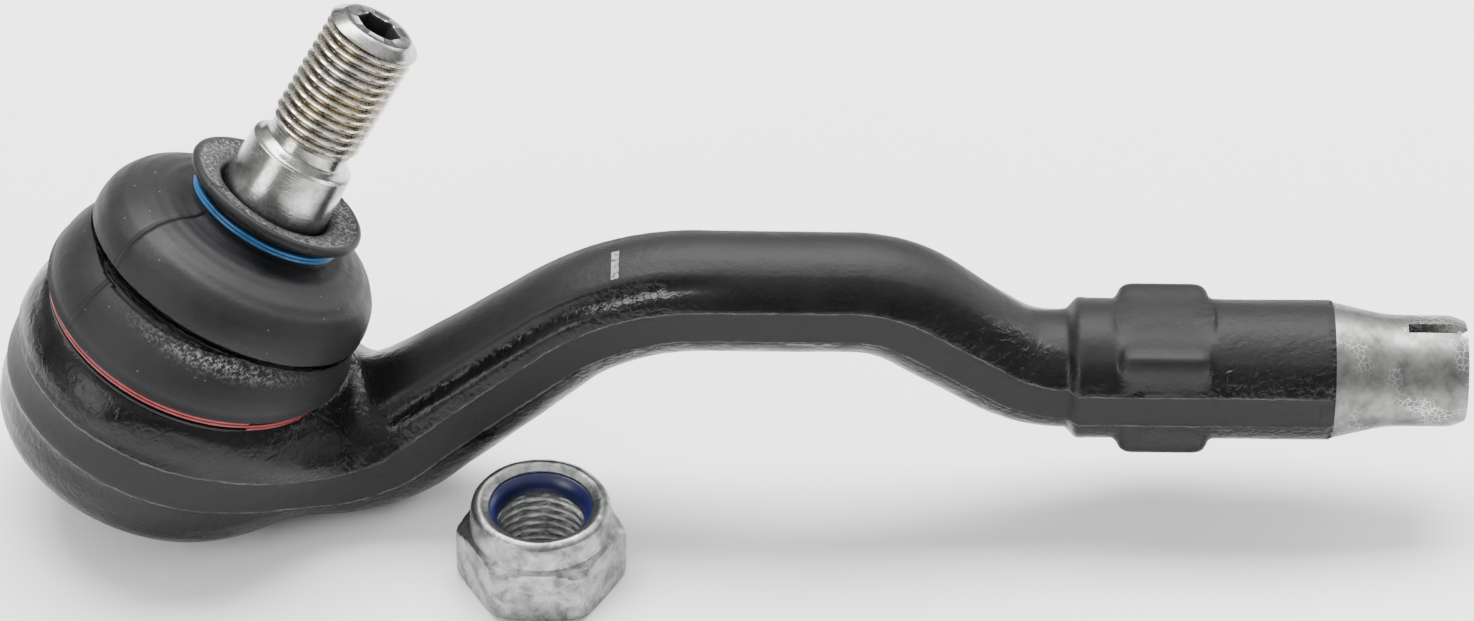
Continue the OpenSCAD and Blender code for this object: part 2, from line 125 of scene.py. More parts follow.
def latticeNoise(points, size, seed=0):
    # smooth noise from -1 to 1 whose bumps are about size across
    p = points / size + 97.3 * (seed + 1)
    cell = np.floor(p).astype(np.int64)
    f = p - cell
    f = f * f * (3 - 2 * f)
    total = np.zeros(len(points))
    for dx in (0, 1):
        for dy in (0, 1):
            for dz in (0, 1):
                n = (cell[:, 0] + dx) * 73856093 ^ (cell[:, 1] + dy) * 19349663 ^ (cell[:, 2] + dz) * 83492791
                n = (n ^ (n >> 13)) * 1274126177 & 0x7FFFFFFF
                w = np.where(dx, f[:, 0], 1 - f[:, 0]) * np.where(dy, f[:, 1], 1 - f[:, 1]) \
                    * np.where(dz, f[:, 2], 1 - f[:, 2])
                total += w * ((n % 10007) / 5003.0 - 1)
    return total


def makeMesh(name, points, faces, smooth=35):  # edges sharper than smooth degrees stay sharp
    mesh = bpy.data.meshes.new(name)
    mesh.from_pydata((np.asarray(points) * mm).tolist(), [], [list(f) for f in faces])
    mesh.update()
    mesh.polygons.foreach_set("use_smooth", np.ones(len(mesh.polygons), bool))
    mesh.set_sharp_from_angle(angle=math.radians(smooth))
    piece = bpy.data.objects.new(name, mesh)
    bpy.context.scene.collection.objects.link(piece)
    return piece


def readOut(data, key):
    # one row of three numbers for every face or vertex
    values = np.empty(len(data) * 3, np.float32)
    data.foreach_get(key, values)
    return values.reshape(-1, 3)


def gridFaces(rows, columns, closedRows=False):
    # quads between neighbouring rows of a grid whose columns close on themselves
    i = np.arange(rows if closedRows else rows - 1)[:, None]
    j = np.arange(columns)[None, :]
    nextRow, nextColumn = (i + 1) % rows, (j + 1) % columns
    quads = np.stack(np.broadcast_arrays(i * columns + j, i * columns + nextColumn,
                                         nextRow * columns + nextColumn, nextRow * columns + j), -1)
    return quads.reshape(-1, 4).tolist()


def ringsMesh(name, rings, closedRows=False, poles=(None, None), smooth=35):
    # rings is (rows, columns, 3); each ring closes on itself, and a pole closes the first or last one
    rows, columns = rings.shape[:2]
    points = rings.reshape(-1, 3)
    faces = gridFaces(rows, columns, closedRows)
    j = np.arange(columns)
    after = (j + 1) % columns
    for pole, row in zip(poles, (0, rows - 1)):
        if pole is None:
            continue
        points = np.vstack([points, pole])
        tip = np.full(columns, len(points) - 1)
        a, b = j + row * columns, after + row * columns
        faces += np.stack([b, a, tip] if row == 0 else [a, b, tip], -1).tolist()
    return makeMesh(name, points, faces, smooth)


def fullTurn(columns):
    return np.linspace(0, 2 * np.pi, columns, endpoint=False)


def polar(r, angle, z):
    # (r cos, r sin, z) for every angle
    return np.stack([r * np.cos(angle), r * np.sin(angle), z + 0 * angle], -1)


def revolve(line, columns):
    # a line of (r, z) turned about the z axis
    return polar(line[:, 0][:, None], fullTurn(columns), line[:, 1][:, None])


def place(rings, turn, at=(0, 0, 0)):
    # turned by the columns of a frame, then moved
    return rings @ np.asarray(turn).T + np.asarray(at)


def colour(code):  # sRGB hex to linear
    parts = [int(code[i:i + 2], 16) / 255 for i in (1, 3, 5)]
    return tuple(c / 12.92 if c <= 0.04045 else ((c + 0.055) / 1.055) ** 2.4 for c in parts) + (1.0,)


def addNode(tree, kind, inputs, output=0, **settings):  # returns one output of the new node
    node = tree.nodes.new("ShaderNode" + kind)
    for key, value in settings.items():
        setattr(node, key, value)
    for key, value in inputs.items():
        if isinstance(value, bpy.types.NodeSocket):
            tree.links.new(value, node.inputs[key])
        else:
            node.inputs[key].default_value = value
    return node.outputs[output]


def newFinish(name, code, roughness, metallic=0.0, specular=0.5):
    finish = bpy.data.materials.new(name)
    finish.use_nodes = True
    tree = finish.node_tree
    shader = tree.nodes["Principled BSDF"]
    shader.inputs["Base Color"].default_value = colour(code)
    shader.inputs["Roughness"].default_value = roughness
    shader.inputs["Metallic"].default_value = metallic
    if not metallic:
        shader.inputs["Specular IOR Level"].default_value = specular
    return finish, tree, shader, addNode(tree, "TexCoord", {}, "Object")


joint = {
    "housingTilt": 21.0,   # housing axis from the vertical, towards the arm
    "swingTurn": 54.5,     # direction of the stud's lean about that axis
    "swingRest": 15.7,     # how far the stud leans
    "bulgeShare": 0.75,    # share of the lean that the boot's upper bulge follows
}


def leaned(share):
    # frame of the housing's axis, leaning by a share of the way to the stud's axis
    return turnY(joint["housingTilt"]) @ turnZ(joint["swingTurn"]) @ turnY(share * joint["swingRest"]) \
        @ turnZ(-joint["swingTurn"])


housingFrame = leaned(0)
studFrame = leaned(1)
housingAxis, studAxis = housingFrame[:, 2], studFrame[:, 2]

forging = {
    # the arm's path in the plane Y = 0: (length, 0) is a straight, (radius of the axis, turn) is a bend
    "path": [(24, 0), (14, 60), (26.92, 0), (34, -39), (21.8, 0), (17.5, -33.5), (14.98, 0), (17, 33.5),
             (45, 0)],
    "bandDrop": 4.4,        # the parting plane, below the ball's centre
    "flashHeight": 5.4,     # the trimmed flash band on arm and shank
    "flatShare": 0.962,     # how far out the band's flat lies, as a share of the half width
    "stepX": 130.31, "shankX": 132.3, "squareX": 137.91, "squareEnd": 151.71, "coneX": 169.71,
    "armRadius": 8.75, "shankRadius": 10.3, "squareHalf": 9.5, "squareCorner": 12.6,
    "faceSize": 0.6,        # of the skin
    "fillet": 6.0,          # between housing and arm
    "foot": -17.38, "shoulder": 6.6,    # of the housing's drum, along its axis
}


def armPlaces():
    # where each stretch of the path starts: x, z, slope and the length run so far
    x, z = np.array([-1, -1]) * forging["bandDrop"] * np.array([housingFrame[0, 2], housingFrame[2, 2]])
    slope, run, places = -math.radians(joint["housingTilt"]), 0.0, []
    for size, turn in forging["path"]:
        places.append((x, z, slope, run, size, math.radians(turn)))
        if turn:
            side, after = math.copysign(1, turn), slope + math.radians(turn)
            x += side * size * (math.sin(after) - math.sin(slope))
            z += side * size * (math.cos(slope) - math.cos(after))
            run += size * abs(math.radians(turn))
            slope = after
        else:
            x, z, run = x + size * math.cos(slope), z + size * math.sin(slope), run + size
    return places


def alongArm(x, z):
    # nearest place on the path: length run, height above the axis square to it, and how far past its ends
    best = np.full(x.shape, 1e9)
    run, height, past = np.zeros_like(x), np.zeros_like(x), np.zeros_like(x)
    for x0, z0, slope, start, size, turn in armPlaces():
        if turn:
            side = math.copysign(1, turn)
            cx, cz = x0 - side * size * math.sin(slope), z0 + side * size * math.cos(slope)
            heading = np.arctan2(side * (x - cx), -side * (z - cz))
            gone = (side * (heading - slope) + np.pi) % (2 * np.pi) - np.pi
            gone = np.clip(gone, 0, abs(turn))
            heading = slope + side * gone
            px, pz = cx + side * size * np.sin(heading), cz - side * size * np.cos(heading)
            here = start + gone * size
        else:
            gone = np.clip((x - x0) * math.cos(slope) + (z - z0) * math.sin(slope), 0, size)
            heading = np.full_like(x, slope)
            px, pz = x0 + gone * math.cos(slope), z0 + gone * math.sin(slope)
            here = start + gone
        far = np.hypot(x - px, z - pz)
        nearer = far < best
        best = np.where(nearer, far, best)
        run = np.where(nearer, here, run)
        height = np.where(nearer, -(x - px) * np.sin(heading) + (z - pz) * np.cos(heading), height)
        past = np.where(nearer, (x - px) * np.cos(heading) + (z - pz) * np.sin(heading), past)
    return run, height, past


# half width and half heights of the arm's section along the path; the width flares towards the housing
halfWidth = smoothTable([0, 8, 15, 21, 26, 32, 40, 54, 68, 128, 135, 141, 146, 200],
                        [15, 18.2, 18.6, 16.8, 14.6, 12.2, 10.5, 9.35, 8.85, 8.75, 8.6, 8.7, 8.75, 8.75], 9)
halfTop = smoothTable([0, 20, 40, 54, 68, 122, 130, 136, 143, 147, 200],
                      [9, 9.6, 10.2, 9.4, 8.8, 8.7, 7.8, 7.5, 8.3, 8.7, 8.7], 7)
halfBottom = smoothTable([0, 14, 22, 30, 40, 54, 68, 200],
                         [9, 12.4, 12.1, 11.0, 10.3, 9.9, 8.95, 8.75], 7)
# radius of the housing's drum along its axis, with the proud band of its flash
housingRadius = smoothTable([-18, -17.4, -16.6, -15, -12, -8.3, -7.9, -0.9, -0.5, 3, 5.4, 6.6, 8],
                            [20.9, 21.2, 22.1, 23.0, 23.6, 23.85, 24.2, 24.2, 23.85, 23.2, 22.4, 21.6, 21.4],
                            0.5)


def skinOfForging(p):
    # signed distance, roughly: the drum r - R(h), the arm as an ellipse (y/a)^2 + (v/b)^2 = 1 along its path
    # with flats at y = 0.96a, the step and square of the shank, each joined to the next by a fillet
    x, y, z = p.T
    local = p @ housingFrame
    h, r = local[:, 2], np.hypot(local[:, 0], local[:, 1])
    ends = np.maximum(h - forging["shoulder"], forging["foot"] - h)
    drum = smoothMax(r - housingRadius(h), ends, 0.7)

    run, height, past = alongArm(x, z)
    a, b = halfWidth(run), np.where(height > 0, halfTop(run), halfBottom(run))
    step = smoothstep(x, forging["stepX"], forging["shankX"]) * (z < 20)
    grow = step * (forging["shankRadius"] - forging["armRadius"])
    a, b = a + grow, b + grow
    seam = 0.1 * bell(x, forging["shankX"] + 0.4, 0.6) * step
    ragged = 0.75 + 0.5 * latticeNoise(p, 1.6, 3)
    lip = bell(np.abs(height), forging["flashHeight"] / 2 + 0.25, 0.42)
    lip = lip * smoothstep(np.abs(y), 0.75 * a, 0.95 * a)
    lip = lip * 0.22 * ragged * smoothstep(run, 24, 34)
    # a plateau on top of the rising stretch, with a valley beside it
    side = np.degrees(np.arctan2(height / b, np.abs(y) / a))
    fade = smoothstep(run, 33, 50) * (1 - smoothstep(run, 78, 96))
    valley = fade * (0.95 * bell(side, 43, 6.5) - 0.35 * bell(side, 29, 7) - 0.2 * bell(side, 56, 6))
    worn = 0.045 * latticeNoise(p, 5.5, 1) + 0.02 * latticeNoise(p, 2.2, 2)
    arm = (np.sqrt((y / a) ** 2 + (height / b) ** 2 + (past / a) ** 2) - 1) * np.minimum(a, b)
    arm = smoothMax(arm + valley - seam, np.abs(y) - a * forging["flatShare"], 0.2) - lip + worn

    half, corner = forging["squareHalf"], forging["squareCorner"]
    ends = np.maximum(forging["squareX"] - x, x - forging["squareEnd"])
    square = smoothMax(np.maximum(np.abs(z) - half, np.abs(y) - half), np.hypot(y, z) - corner, 1.2)
    square = smoothMax(square, ends, 2.6)
    shank = smoothMin(arm, square, 0.7)
    overFlat = smoothMin(np.abs(z) - half, -ends + 0.4, 0.8)
    shank = np.where(x > 120, smoothMax(shank, overFlat, 0.8), shank)

    # the fillet is wider on top of the arm than below it
    body = smoothMin(drum, shank, forging["fillet"] * (1 + smoothstep(height, 0, 7)))
    return smoothMax(body, x - forging["coneX"], 0.05)


def turnedOnHousing(name, line, columns=160):
    # a closed solid of revolution about the housing's axis
    line = np.array(line)
    return ringsMesh(name, place(revolve(line, columns), housingFrame), poles=(
        housingAxis * line[0, 1], housingAxis * line[-1, 1]))


def skinBlank():
    # overlapping closed shapes about as big as the forging, for the even skin that is then drawn onto it
    drum = turnedOnHousing("forgingBlank", [
        [0.01, forging["foot"]], [21.5, forging["foot"]], [24, -12], [24, 0], [21.5, forging["shoulder"]],
        [0.01, forging["shoulder"]]], 96)
    rings, angle = [], fullTurn(48)
    for x0, z0, slope, start, size, turn in armPlaces():
        length = size * abs(turn) if turn else size
        for gone in np.linspace(0, length, max(3, int(length / 2)), endpoint=False):
            heading = slope + (math.copysign(gone / size, turn) if turn else 0)
            if turn:
                side = math.copysign(1, turn)
                x = x0 + side * size * (math.sin(heading) - math.sin(slope))
                z = z0 + side * size * (math.cos(slope) - math.cos(heading))
            else:
                x, z = x0 + gone * math.cos(slope), z0 + gone * math.sin(slope)
            if x > forging["coneX"]:
                continue
            run = start + gone
            grow = 1.3 if x > forging["stepX"] and z < 5 else 0
            out = np.sin(angle) * (halfTop(run) + grow)
            rings.append(np.stack([x - out * math.sin(heading), -np.cos(angle) * (halfWidth(run) + grow),
                                   z + out * math.cos(heading)], -1))
    rings.append(rings[-1] * [0, 1, 1] + [forging["coneX"], 0, 0])
    rings = np.array(rings)
    arm = ringsMesh("armBlank", rings[:, ::-1], poles=(rings[0].mean(0), rings[-1].mean(0)))
    foot, length, r = forging["squareX"], forging["squareEnd"] - forging["squareX"], 12.2
    square = revolve(np.array([[0.01, 0], [r, 0], [r, length], [0.01, length]]), 64)
    square = ringsMesh("squareBlank", place(square, turnY(90), (foot, 0, 0)), poles=(
        (foot, 0, 0), (foot + length, 0, 0)))
    with bpy.context.temp_override(active_object=drum, selected_editable_objects=[drum, arm, square]):
        bpy.ops.object.join()
    return drum


def applied(piece):
    # the piece's modifiers become its mesh
    mesh = bpy.data.meshes.new_from_object(piece.evaluated_get(bpy.context.evaluated_depsgraph_get()))
    piece.modifiers.clear()
    piece.data = mesh
    return piece


def drawnOn(piece, surface, rounds=7):
    # some rounds of Newton's step p - f grad f / |grad f|^2, none longer than 0.9 mm, for every vertex
    p = readOut(piece.data.vertices, "co").astype(float) / mm
    for _ in range(rounds):
        value, gradient = surface(p), np.empty_like(p)
        for axis in range(3):
            nudge = np.zeros(3)
            nudge[axis] = 0.04
            gradient[:, axis] = (surface(p + nudge) - value) / 0.04
        steep = np.maximum((gradient ** 2).sum(1), 0.2)
        move = -gradient * (value / steep)[:, None]
        far = np.maximum(np.linalg.norm(move, axis=1), 1e-9)
        p += move * np.minimum(1, 0.9 / far)[:, None]
    piece.data.vertices.foreach_set("co", (p * mm).astype(np.float32).ravel())
    piece.data.update()


def cut(piece, tool, operation):  # the tool is used up
    modifier = piece.modifiers.new("cut", "BOOLEAN")
    modifier.operation, modifier.object, modifier.solver = operation, tool, "MANIFOLD"
    applied(piece)
    bpy.data.objects.remove(tool)


machining = {
    "neckRadius": 19.01, "lipRadius": 19.91, "neckTop": 10.52, "mouthRadius": 13.33,
    "pocketRadius": 15.81, "plateRadius": 16.54, "plateFoot": -16.38, "plateTop": -13.88, "footHole": 14.9,
    "sleeveRadius": 8.2, "sleeveX": 177.71, "endX": 189.41, "chamfer": (2.2, 0.85),
    "boreRadius": 6.19, "boreLength": 45.0, "threadPitch": 1.5, "slotWidth": 2.0, "slotLength": 8.8,
}


def threadRadius(z, angle, crest, pitch, depth, internal=False):
    # a rounded 60 degree thread: the radius falls off with the distance from the crest's helix
    turn = (z / pitch - angle / (2 * np.pi)) % 1
    off = np.abs(2 * turn - 1)
    rise = np.clip((off - 0.1) / 0.66, 0, 1)
    rise = 0.6 * rise + 0.4 * rise * rise * (3 - 2 * rise)
    return crest + rise * depth if internal else crest - rise * depth


def makeForging():
    # an even skin drawn onto the forging's surface, then turned, bored and slotted
    size = machining
    skin = skinBlank()
    remesh = skin.modifiers.new("even", "REMESH")
    remesh.mode, remesh.voxel_size = "VOXEL", forging["faceSize"] * mm
    applied(skin)
    drawnOn(skin, skinOfForging)
    print("forging skin:", len(skin.data.polygons), "faces")

    top, lip = size["neckTop"], size["lipRadius"]
    neck = roundedLine([(0.01, 4), (size["neckRadius"], 4), (size["neckRadius"], top - 0.8, 0.2),
                        (lip, top - 0.8, 0.2), (lip, top, 0.3), (0.01, top)], 3)
    cut(skin, turnedOnHousing("neck", neck), "UNION")

    below, above, pocket = forging["foot"] - 3, top + 2, size["pocketRadius"]
    arc = np.linspace(0, math.asin(forging["shoulder"] / pocket), 12)
    dome = [(pocket * math.cos(a), pocket * math.sin(a)) for a in arc]
    cavity = [(0.01, below), (size["footHole"], below), (size["footHole"] - 0.35, forging["foot"] + 0.3),
              (size["footHole"], size["plateFoot"]), (size["plateRadius"], size["plateFoot"]),
              (size["plateRadius"], size["plateTop"]), (pocket, size["plateTop"])] + dome + [
              (size["mouthRadius"], top), (size["mouthRadius"], above), (0.01, above)]
    cut(skin, turnedOnHousing("cavity", cavity), "DIFFERENCE")

    start, end = forging["coneX"], size["endX"]
    chamferLength, chamferDepth = size["chamfer"]
    r = size["sleeveRadius"]
    sleeve = roundedLine([(0.01, start - 2), (10.05, start - 2), (10.05, start), (r, size["sleeveX"], 2.5),
                          (r, end - chamferLength, 0.8), (r - chamferDepth, end, 0.25), (0.01, end)], 6)
    dense = [sleeve[:1]]
    for a, b in zip(sleeve[:-1], sleeve[1:]):
        n = max(1, int(abs(b[1] - a[1]) / 0.8))
        dense.append(a + (b - a) * np.linspace(0, 1, n + 1)[1:, None])
    sleeve = place(revolve(np.concatenate(dense), 160), turnY(90))
    cut(skin, ringsMesh("sleeve", sleeve, poles=((start - 2, 0, 0), (end, 0, 0))), "UNION")

    # bore with its internal thread: rows along the axis whose radius follows the helix
    angle, foot, bore = fullTurn(96), end - size["boreLength"], size["boreRadius"]
    z = np.arange(foot + 1, end + 1.5, size["threadPitch"] / 8)[:, None]
    r = threadRadius(z, angle, bore, size["threadPitch"], 0.72, True)
    r = np.where(z > end - 0.9, np.maximum(r, bore + (z - end + 0.9) * 0.9), r)
    r = np.where(z < foot + 4, bore, r)
    rows = np.concatenate([polar(bore, angle, foot)[None], polar(r, angle, z)])
    tip, mouth = (foot - 3.2, 0, 0), (z[-1, 0], 0, 0)
    cut(skin, ringsMesh("bore", place(rows, turnY(90)), poles=(tip, mouth)), "DIFFERENCE")

    w, deep = size["slotWidth"] / 2, end - size["slotLength"]
    corners = [(x, y, z) for z in (-12, 12) for x, y in
               ((deep, -w), (end + 2, -w), (end + 2, w), (deep, w))]
    sides = [(i, (i + 1) % 4, (i + 1) % 4 + 4, i + 4) for i in range(4)]
    cut(skin, makeMesh("slot", corners, [(3, 2, 1, 0), (4, 5, 6, 7)] + sides), "DIFFERENCE")
    return skin


def paintForging(skin):
    # bare are the faces machined after painting; bandHeight is each point's height above the parting plane,
    # in half widths of the flash band
    mesh = skin.data
    centre = readOut(mesh.polygons, "center") / mm
    local = centre @ housingFrame
    h, r = local[:, 2], np.hypot(local[:, 0], local[:, 1])
    inside = (r < 17) & (np.abs(centre[:, 1]) < 17) & (h > -18) & (h < 12) & (centre[:, 0] < 20)
    neck = (h > 6.63) & (r < 20.2)
    rim = (h < forging["foot"] + 0.85) & (r < 22.4)
    bare = (centre[:, 0] > forging["coneX"] - 0.02) | inside | neck | rim
    bare |= (np.hypot(centre[:, 1], centre[:, 2]) < 7.4) & (centre[:, 0] > 140)
    mesh.materials.clear()
    mesh.materials.append(blackForgingPaint())
    mesh.materials.append(turnedSteel("scuffedShankSteel", (1, 0, 0), "#5b5b5a", "#8e8e8c", 0.42))
    mesh.polygons.foreach_set("material_index", bare.astype(np.int32))
    mesh.polygons.foreach_set("use_smooth", np.ones(len(centre), bool))
    mesh.set_sharp_from_angle(angle=math.radians(38))
    points = readOut(mesh.vertices, "co") / mm
    height = alongArm(points[:, 0], points[:, 2])[1]
    onDrum = 1 - smoothstep(np.hypot(points[:, 0], points[:, 1]), 20, 34)
    height = np.where(points[:, 0] < 20, points @ housingAxis + forging["bandDrop"], height)
    field = mesh.attributes.new("bandHeight", "FLOAT", "POINT")
    field.data.foreach_set("value", (height / (forging["flashHeight"] / 2 + 0.8 * onDrum)).astype(np.float32))
    mesh.update()


def blackForgingPaint():
    # dip enamel on shot-blasted steel: near-black and glossy on the sides, dull on top, where it is also
    # painted lighter as a painted highlight from the light above, hammered in places, with the trimmed flash
    # as a matt band between two ragged lines
    finish, tree, shader, where = newFinish("blackForgingPaint", "#0b0b0c", 0.4, specular=0.26)
    x = addNode(tree, "SeparateXYZ", {0: where}, "X")
    y = addNode(tree, "SeparateXYZ", {0: where}, "Y")
    z = addNode(tree, "SeparateXYZ", {0: where}, "Z")
    large = addNode(tree, "TexNoise", {"Vector": where, "Scale": 110.0, "Detail": 4.0, "Roughness": 0.6})
    fine = addNode(tree, "TexNoise", {"Vector": where, "Scale": 1800.0, "Detail": 3.0, "Roughness": 0.6})
    patches = addNode(tree, "TexNoise", {"Vector": where, "Scale": 250.0, "Detail": 3.0})
    # height above the parting plane, in half widths of the flash band
    height = addNode(tree, "Attribute", {}, "Fac", attribute_name="bandHeight")
    ragged = addNode(tree, "TexNoise", {"Vector": where, "Scale": 420.0, "Detail": 5.0, "Roughness": 0.75})
    ragged = addNode(tree, "Math", {0: addNode(tree, "Math", {0: height}, operation="ABSOLUTE"),
                                    1: addNode(tree, "MapRange", {0: ragged, 3: -0.14, 4: 0.14})},
                     operation="ADD")
    band = addNode(tree, "Math", {0: ragged, 1: 1.0}, operation="LESS_THAN")
    line = addNode(tree, "Math", {0: ragged, 1: 1.0}, operation="SUBTRACT")
    line = addNode(tree, "Math", {0: line}, operation="ABSOLUTE")
    line = addNode(tree, "MapRange", {0: line, 1: 0.075, 2: 0.0})
    broken = addNode(tree, "MapRange", {0: patches, 1: 0.4, 2: 0.55, 3: 0.25})
    line = addNode(tree, "Math", {0: line, 1: broken}, operation="MULTIPLY")
    # the top face's mask: there the finish is duller, and the colour is painted lighter as a painted
    # highlight from above
    top = addNode(tree, "MapRange", {0: height, 1: 2.25, 2: 2.8})
    top = addNode(tree, "Math", {0: top, 1: addNode(tree, "MapRange", {0: x, 1: 26 * mm, 2: 36 * mm})},
                  operation="MULTIPLY")
    cloudy = addNode(tree, "MapRange", {0: large, 1: 0.3, 2: 0.7})
    shade = addNode(tree, "Mix", {0: cloudy, 6: colour("#050506"), 7: colour("#0c0c0e")}, 2, data_type="RGBA")
    # painted highlight: the top face gets a lighter grey
    shade = addNode(tree, "Mix", {0: top, 6: shade, 7: colour("#141416")}, 2, data_type="RGBA")
    shade = addNode(tree, "Mix", {0: band, 6: shade, 7: colour("#18181a")}, 2, data_type="RGBA")
    shade = addNode(tree, "Mix", {0: line, 6: shade, 7: colour("#5c5c5e")}, 2, data_type="RGBA")
    # a paint tick across the crest
    wide = addNode(tree, "Math", {0: x, 1: 64.3 * mm, 2: 0.55 * mm}, operation="COMPARE")
    long = addNode(tree, "Math", {0: y, 1: -2.1 * mm, 2: 2.4 * mm}, operation="COMPARE")
    tick = addNode(tree, "Math", {0: wide, 1: long}, operation="MULTIPLY")
    tick = addNode(tree, "Math", {0: tick, 1: addNode(tree, "MapRange", {0: z, 1: 14 * mm, 2: 15 * mm})},
                   operation="MULTIPLY")
    worn = addNode(tree, "MapRange", {0: fine, 1: 0.38, 2: 0.54, 3: 0.1, 4: 0.65})
    tick = addNode(tree, "Math", {0: tick, 1: worn}, operation="MULTIPLY")
    shade = addNode(tree, "Mix", {0: tick, 6: shade, 7: colour("#a8a8aa")}, 2, data_type="RGBA")
    tree.links.new(shade, shader.inputs["Base Color"])
    rough = addNode(tree, "MapRange", {0: patches, 1: 0.3, 2: 0.7, 3: 0.22, 4: 0.38})
    dull = addNode(tree, "Math", {0: top, 1: addNode(tree, "Math", {0: band, 1: 1.05}, operation="MULTIPLY")},
                   operation="MAXIMUM")
    dull = addNode(tree, "Math", {0: dull, 1: 0.56}, operation="MULTIPLY")
    rough = addNode(tree, "Math", {0: rough, 1: dull}, operation="MAXIMUM")
    tree.links.new(rough, shader.inputs["Roughness"])
    # the hammered places: beside the housing, at both ends of the crest, and beyond the wrench square
    places = addNode(tree, "MapRange", {0: x, 1: 150 * mm, 2: 154 * mm, 4: 0.9})
    for middle, width, much in ((29, 12, 0.3), (66, 9, 0.7), (122, 9, 0.5)):
        near = addNode(tree, "Math", {0: x, 1: middle * mm}, operation="SUBTRACT")
        near = addNode(tree, "Math", {0: near}, operation="ABSOLUTE")
        near = addNode(tree, "MapRange", {0: near, 1: width * mm, 2: width * mm / 3, 4: much})
        places = addNode(tree, "Math", {0: places, 1: near}, operation="MAXIMUM")
    smooth = addNode(tree, "MapRange", {0: dull, 1: 0.0, 2: 0.5, 3: 1.0, 4: 0.25})
    places = addNode(tree, "Math", {0: places, 1: 0.75, 2: 0.25}, operation="MULTIPLY_ADD")
    places = addNode(tree, "Math", {0: places, 1: smooth}, operation="MULTIPLY")
    hammer = addNode(tree, "TexNoise", {"Vector": where, "Scale": 750.0, "Detail": 2.5, "Distortion": 0.8})
    hammer = addNode(tree, "Math", {0: hammer, 1: places}, operation="MULTIPLY")
    normal = addNode(tree, "Bump", {"Height": hammer, "Distance": 0.5 * mm})
    normal = addNode(tree, "Bump", {"Height": line, "Distance": 0.12 * mm, "Normal": normal})
    normal = addNode(tree, "Bump", {"Height": fine, "Distance": 0.035 * mm, "Normal": normal})
    normal = addNode(tree, "Bump", {"Height": patches, "Distance": 0.15 * mm, "Normal": normal})
    tree.links.new(normal, shader.inputs["Normal"])
    return finish


def turnedSteel(name, axis, dark, light, gloss):
    # free-cutting steel off the lathe: grey metal with feed lines round the axis and a few dull patches
    finish, tree, shader, where = newFinish(name, light, gloss, 1.0)
    along = addNode(tree, "VectorMath", {0: where, 1: tuple(axis)}, "Value", operation="DOT_PRODUCT")
    lines = addNode(tree, "TexNoise", {"W": along, "Scale": 4500.0, "Detail": 4.0, "Roughness": 0.7},
                    noise_dimensions="1D")
    patches = addNode(tree, "TexNoise", {"Vector": where, "Scale": 290.0, "Detail": 5.0, "Roughness": 0.65})
    dulled = addNode(tree, "MapRange", {0: patches, 1: 0.32, 2: 0.7})
    shade = addNode(tree, "Mix", {0: dulled, 6: colour(dark), 7: colour(light)}, 2, data_type="RGBA")
    rough = addNode(tree, "MapRange", {0: patches, 1: 0.3, 2: 0.7, 3: gloss + 0.09, 4: gloss - 0.06})
    tree.links.new(rough, shader.inputs["Roughness"])
    scratch = addNode(tree, "TexNoise", {"Vector": where, "Scale": 2800.0, "Detail": 2.0})
    # short bright scuffs in scattered groups
    group = addNode(tree, "TexNoise", {"Vector": where, "Scale": 140.0, "Detail": 1.0})
    cells = addNode(tree, "TexVoronoi", {"Vector": where, "Scale": 1100.0}, "Distance",
                    feature="DISTANCE_TO_EDGE")
    scuff = addNode(tree, "Math", {0: addNode(tree, "MapRange", {0: group, 1: 0.54, 2: 0.62}),
                                   1: addNode(tree, "MapRange", {0: cells, 1: 0.06, 2: 0.02})},
                    operation="MULTIPLY")
    shade = addNode(tree, "Mix", {0: scuff, 6: shade, 7: colour("#c9c9c7")}, 2, data_type="RGBA")
    tree.links.new(shade, shader.inputs["Base Color"])
    normal = addNode(tree, "Bump", {"Height": lines, "Distance": 0.02 * mm})
    normal = addNode(tree, "Bump", {"Height": scratch, "Distance": 0.012 * mm, "Normal": normal})
    tree.links.new(normal, shader.inputs["Normal"])
    return finish


housingArm = makeForging()
housingArm.name = "housingArmForging"
paintForging(housingArm)
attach(housingArm, "housing")
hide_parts("housing_arm")
print("forging done:", len(housingArm.data.polygons), "faces")


stud = {
    "ballRadius": 12.5, "ballFlat": -9.5, "waistRadius": 6.8,
    "journalFoot": 22.4, "journalRadius": 8.3, "seatFoot": 28.4, "seatRadius": 8.45, "seatTop": 38.2,
    "seatTopRadius": 7.96, "neckRadius": 6.25, "threadFoot": 41.3, "threadTop": 59.4, "top": 61.3,
    "threadRadius": 6.98, "pitch": 1.5, "threadDepth": 0.92, "pointRadius": 5.5,
    "socketFlats": 6.0, "socketDepth": 6.0, "columns": 168,
}


def hexagon(angle, flats):
    # radius of a hexagon at each angle, a corner at angle 0
    return flats / 2 / np.cos((angle % (np.pi / 3)) - np.pi / 6)


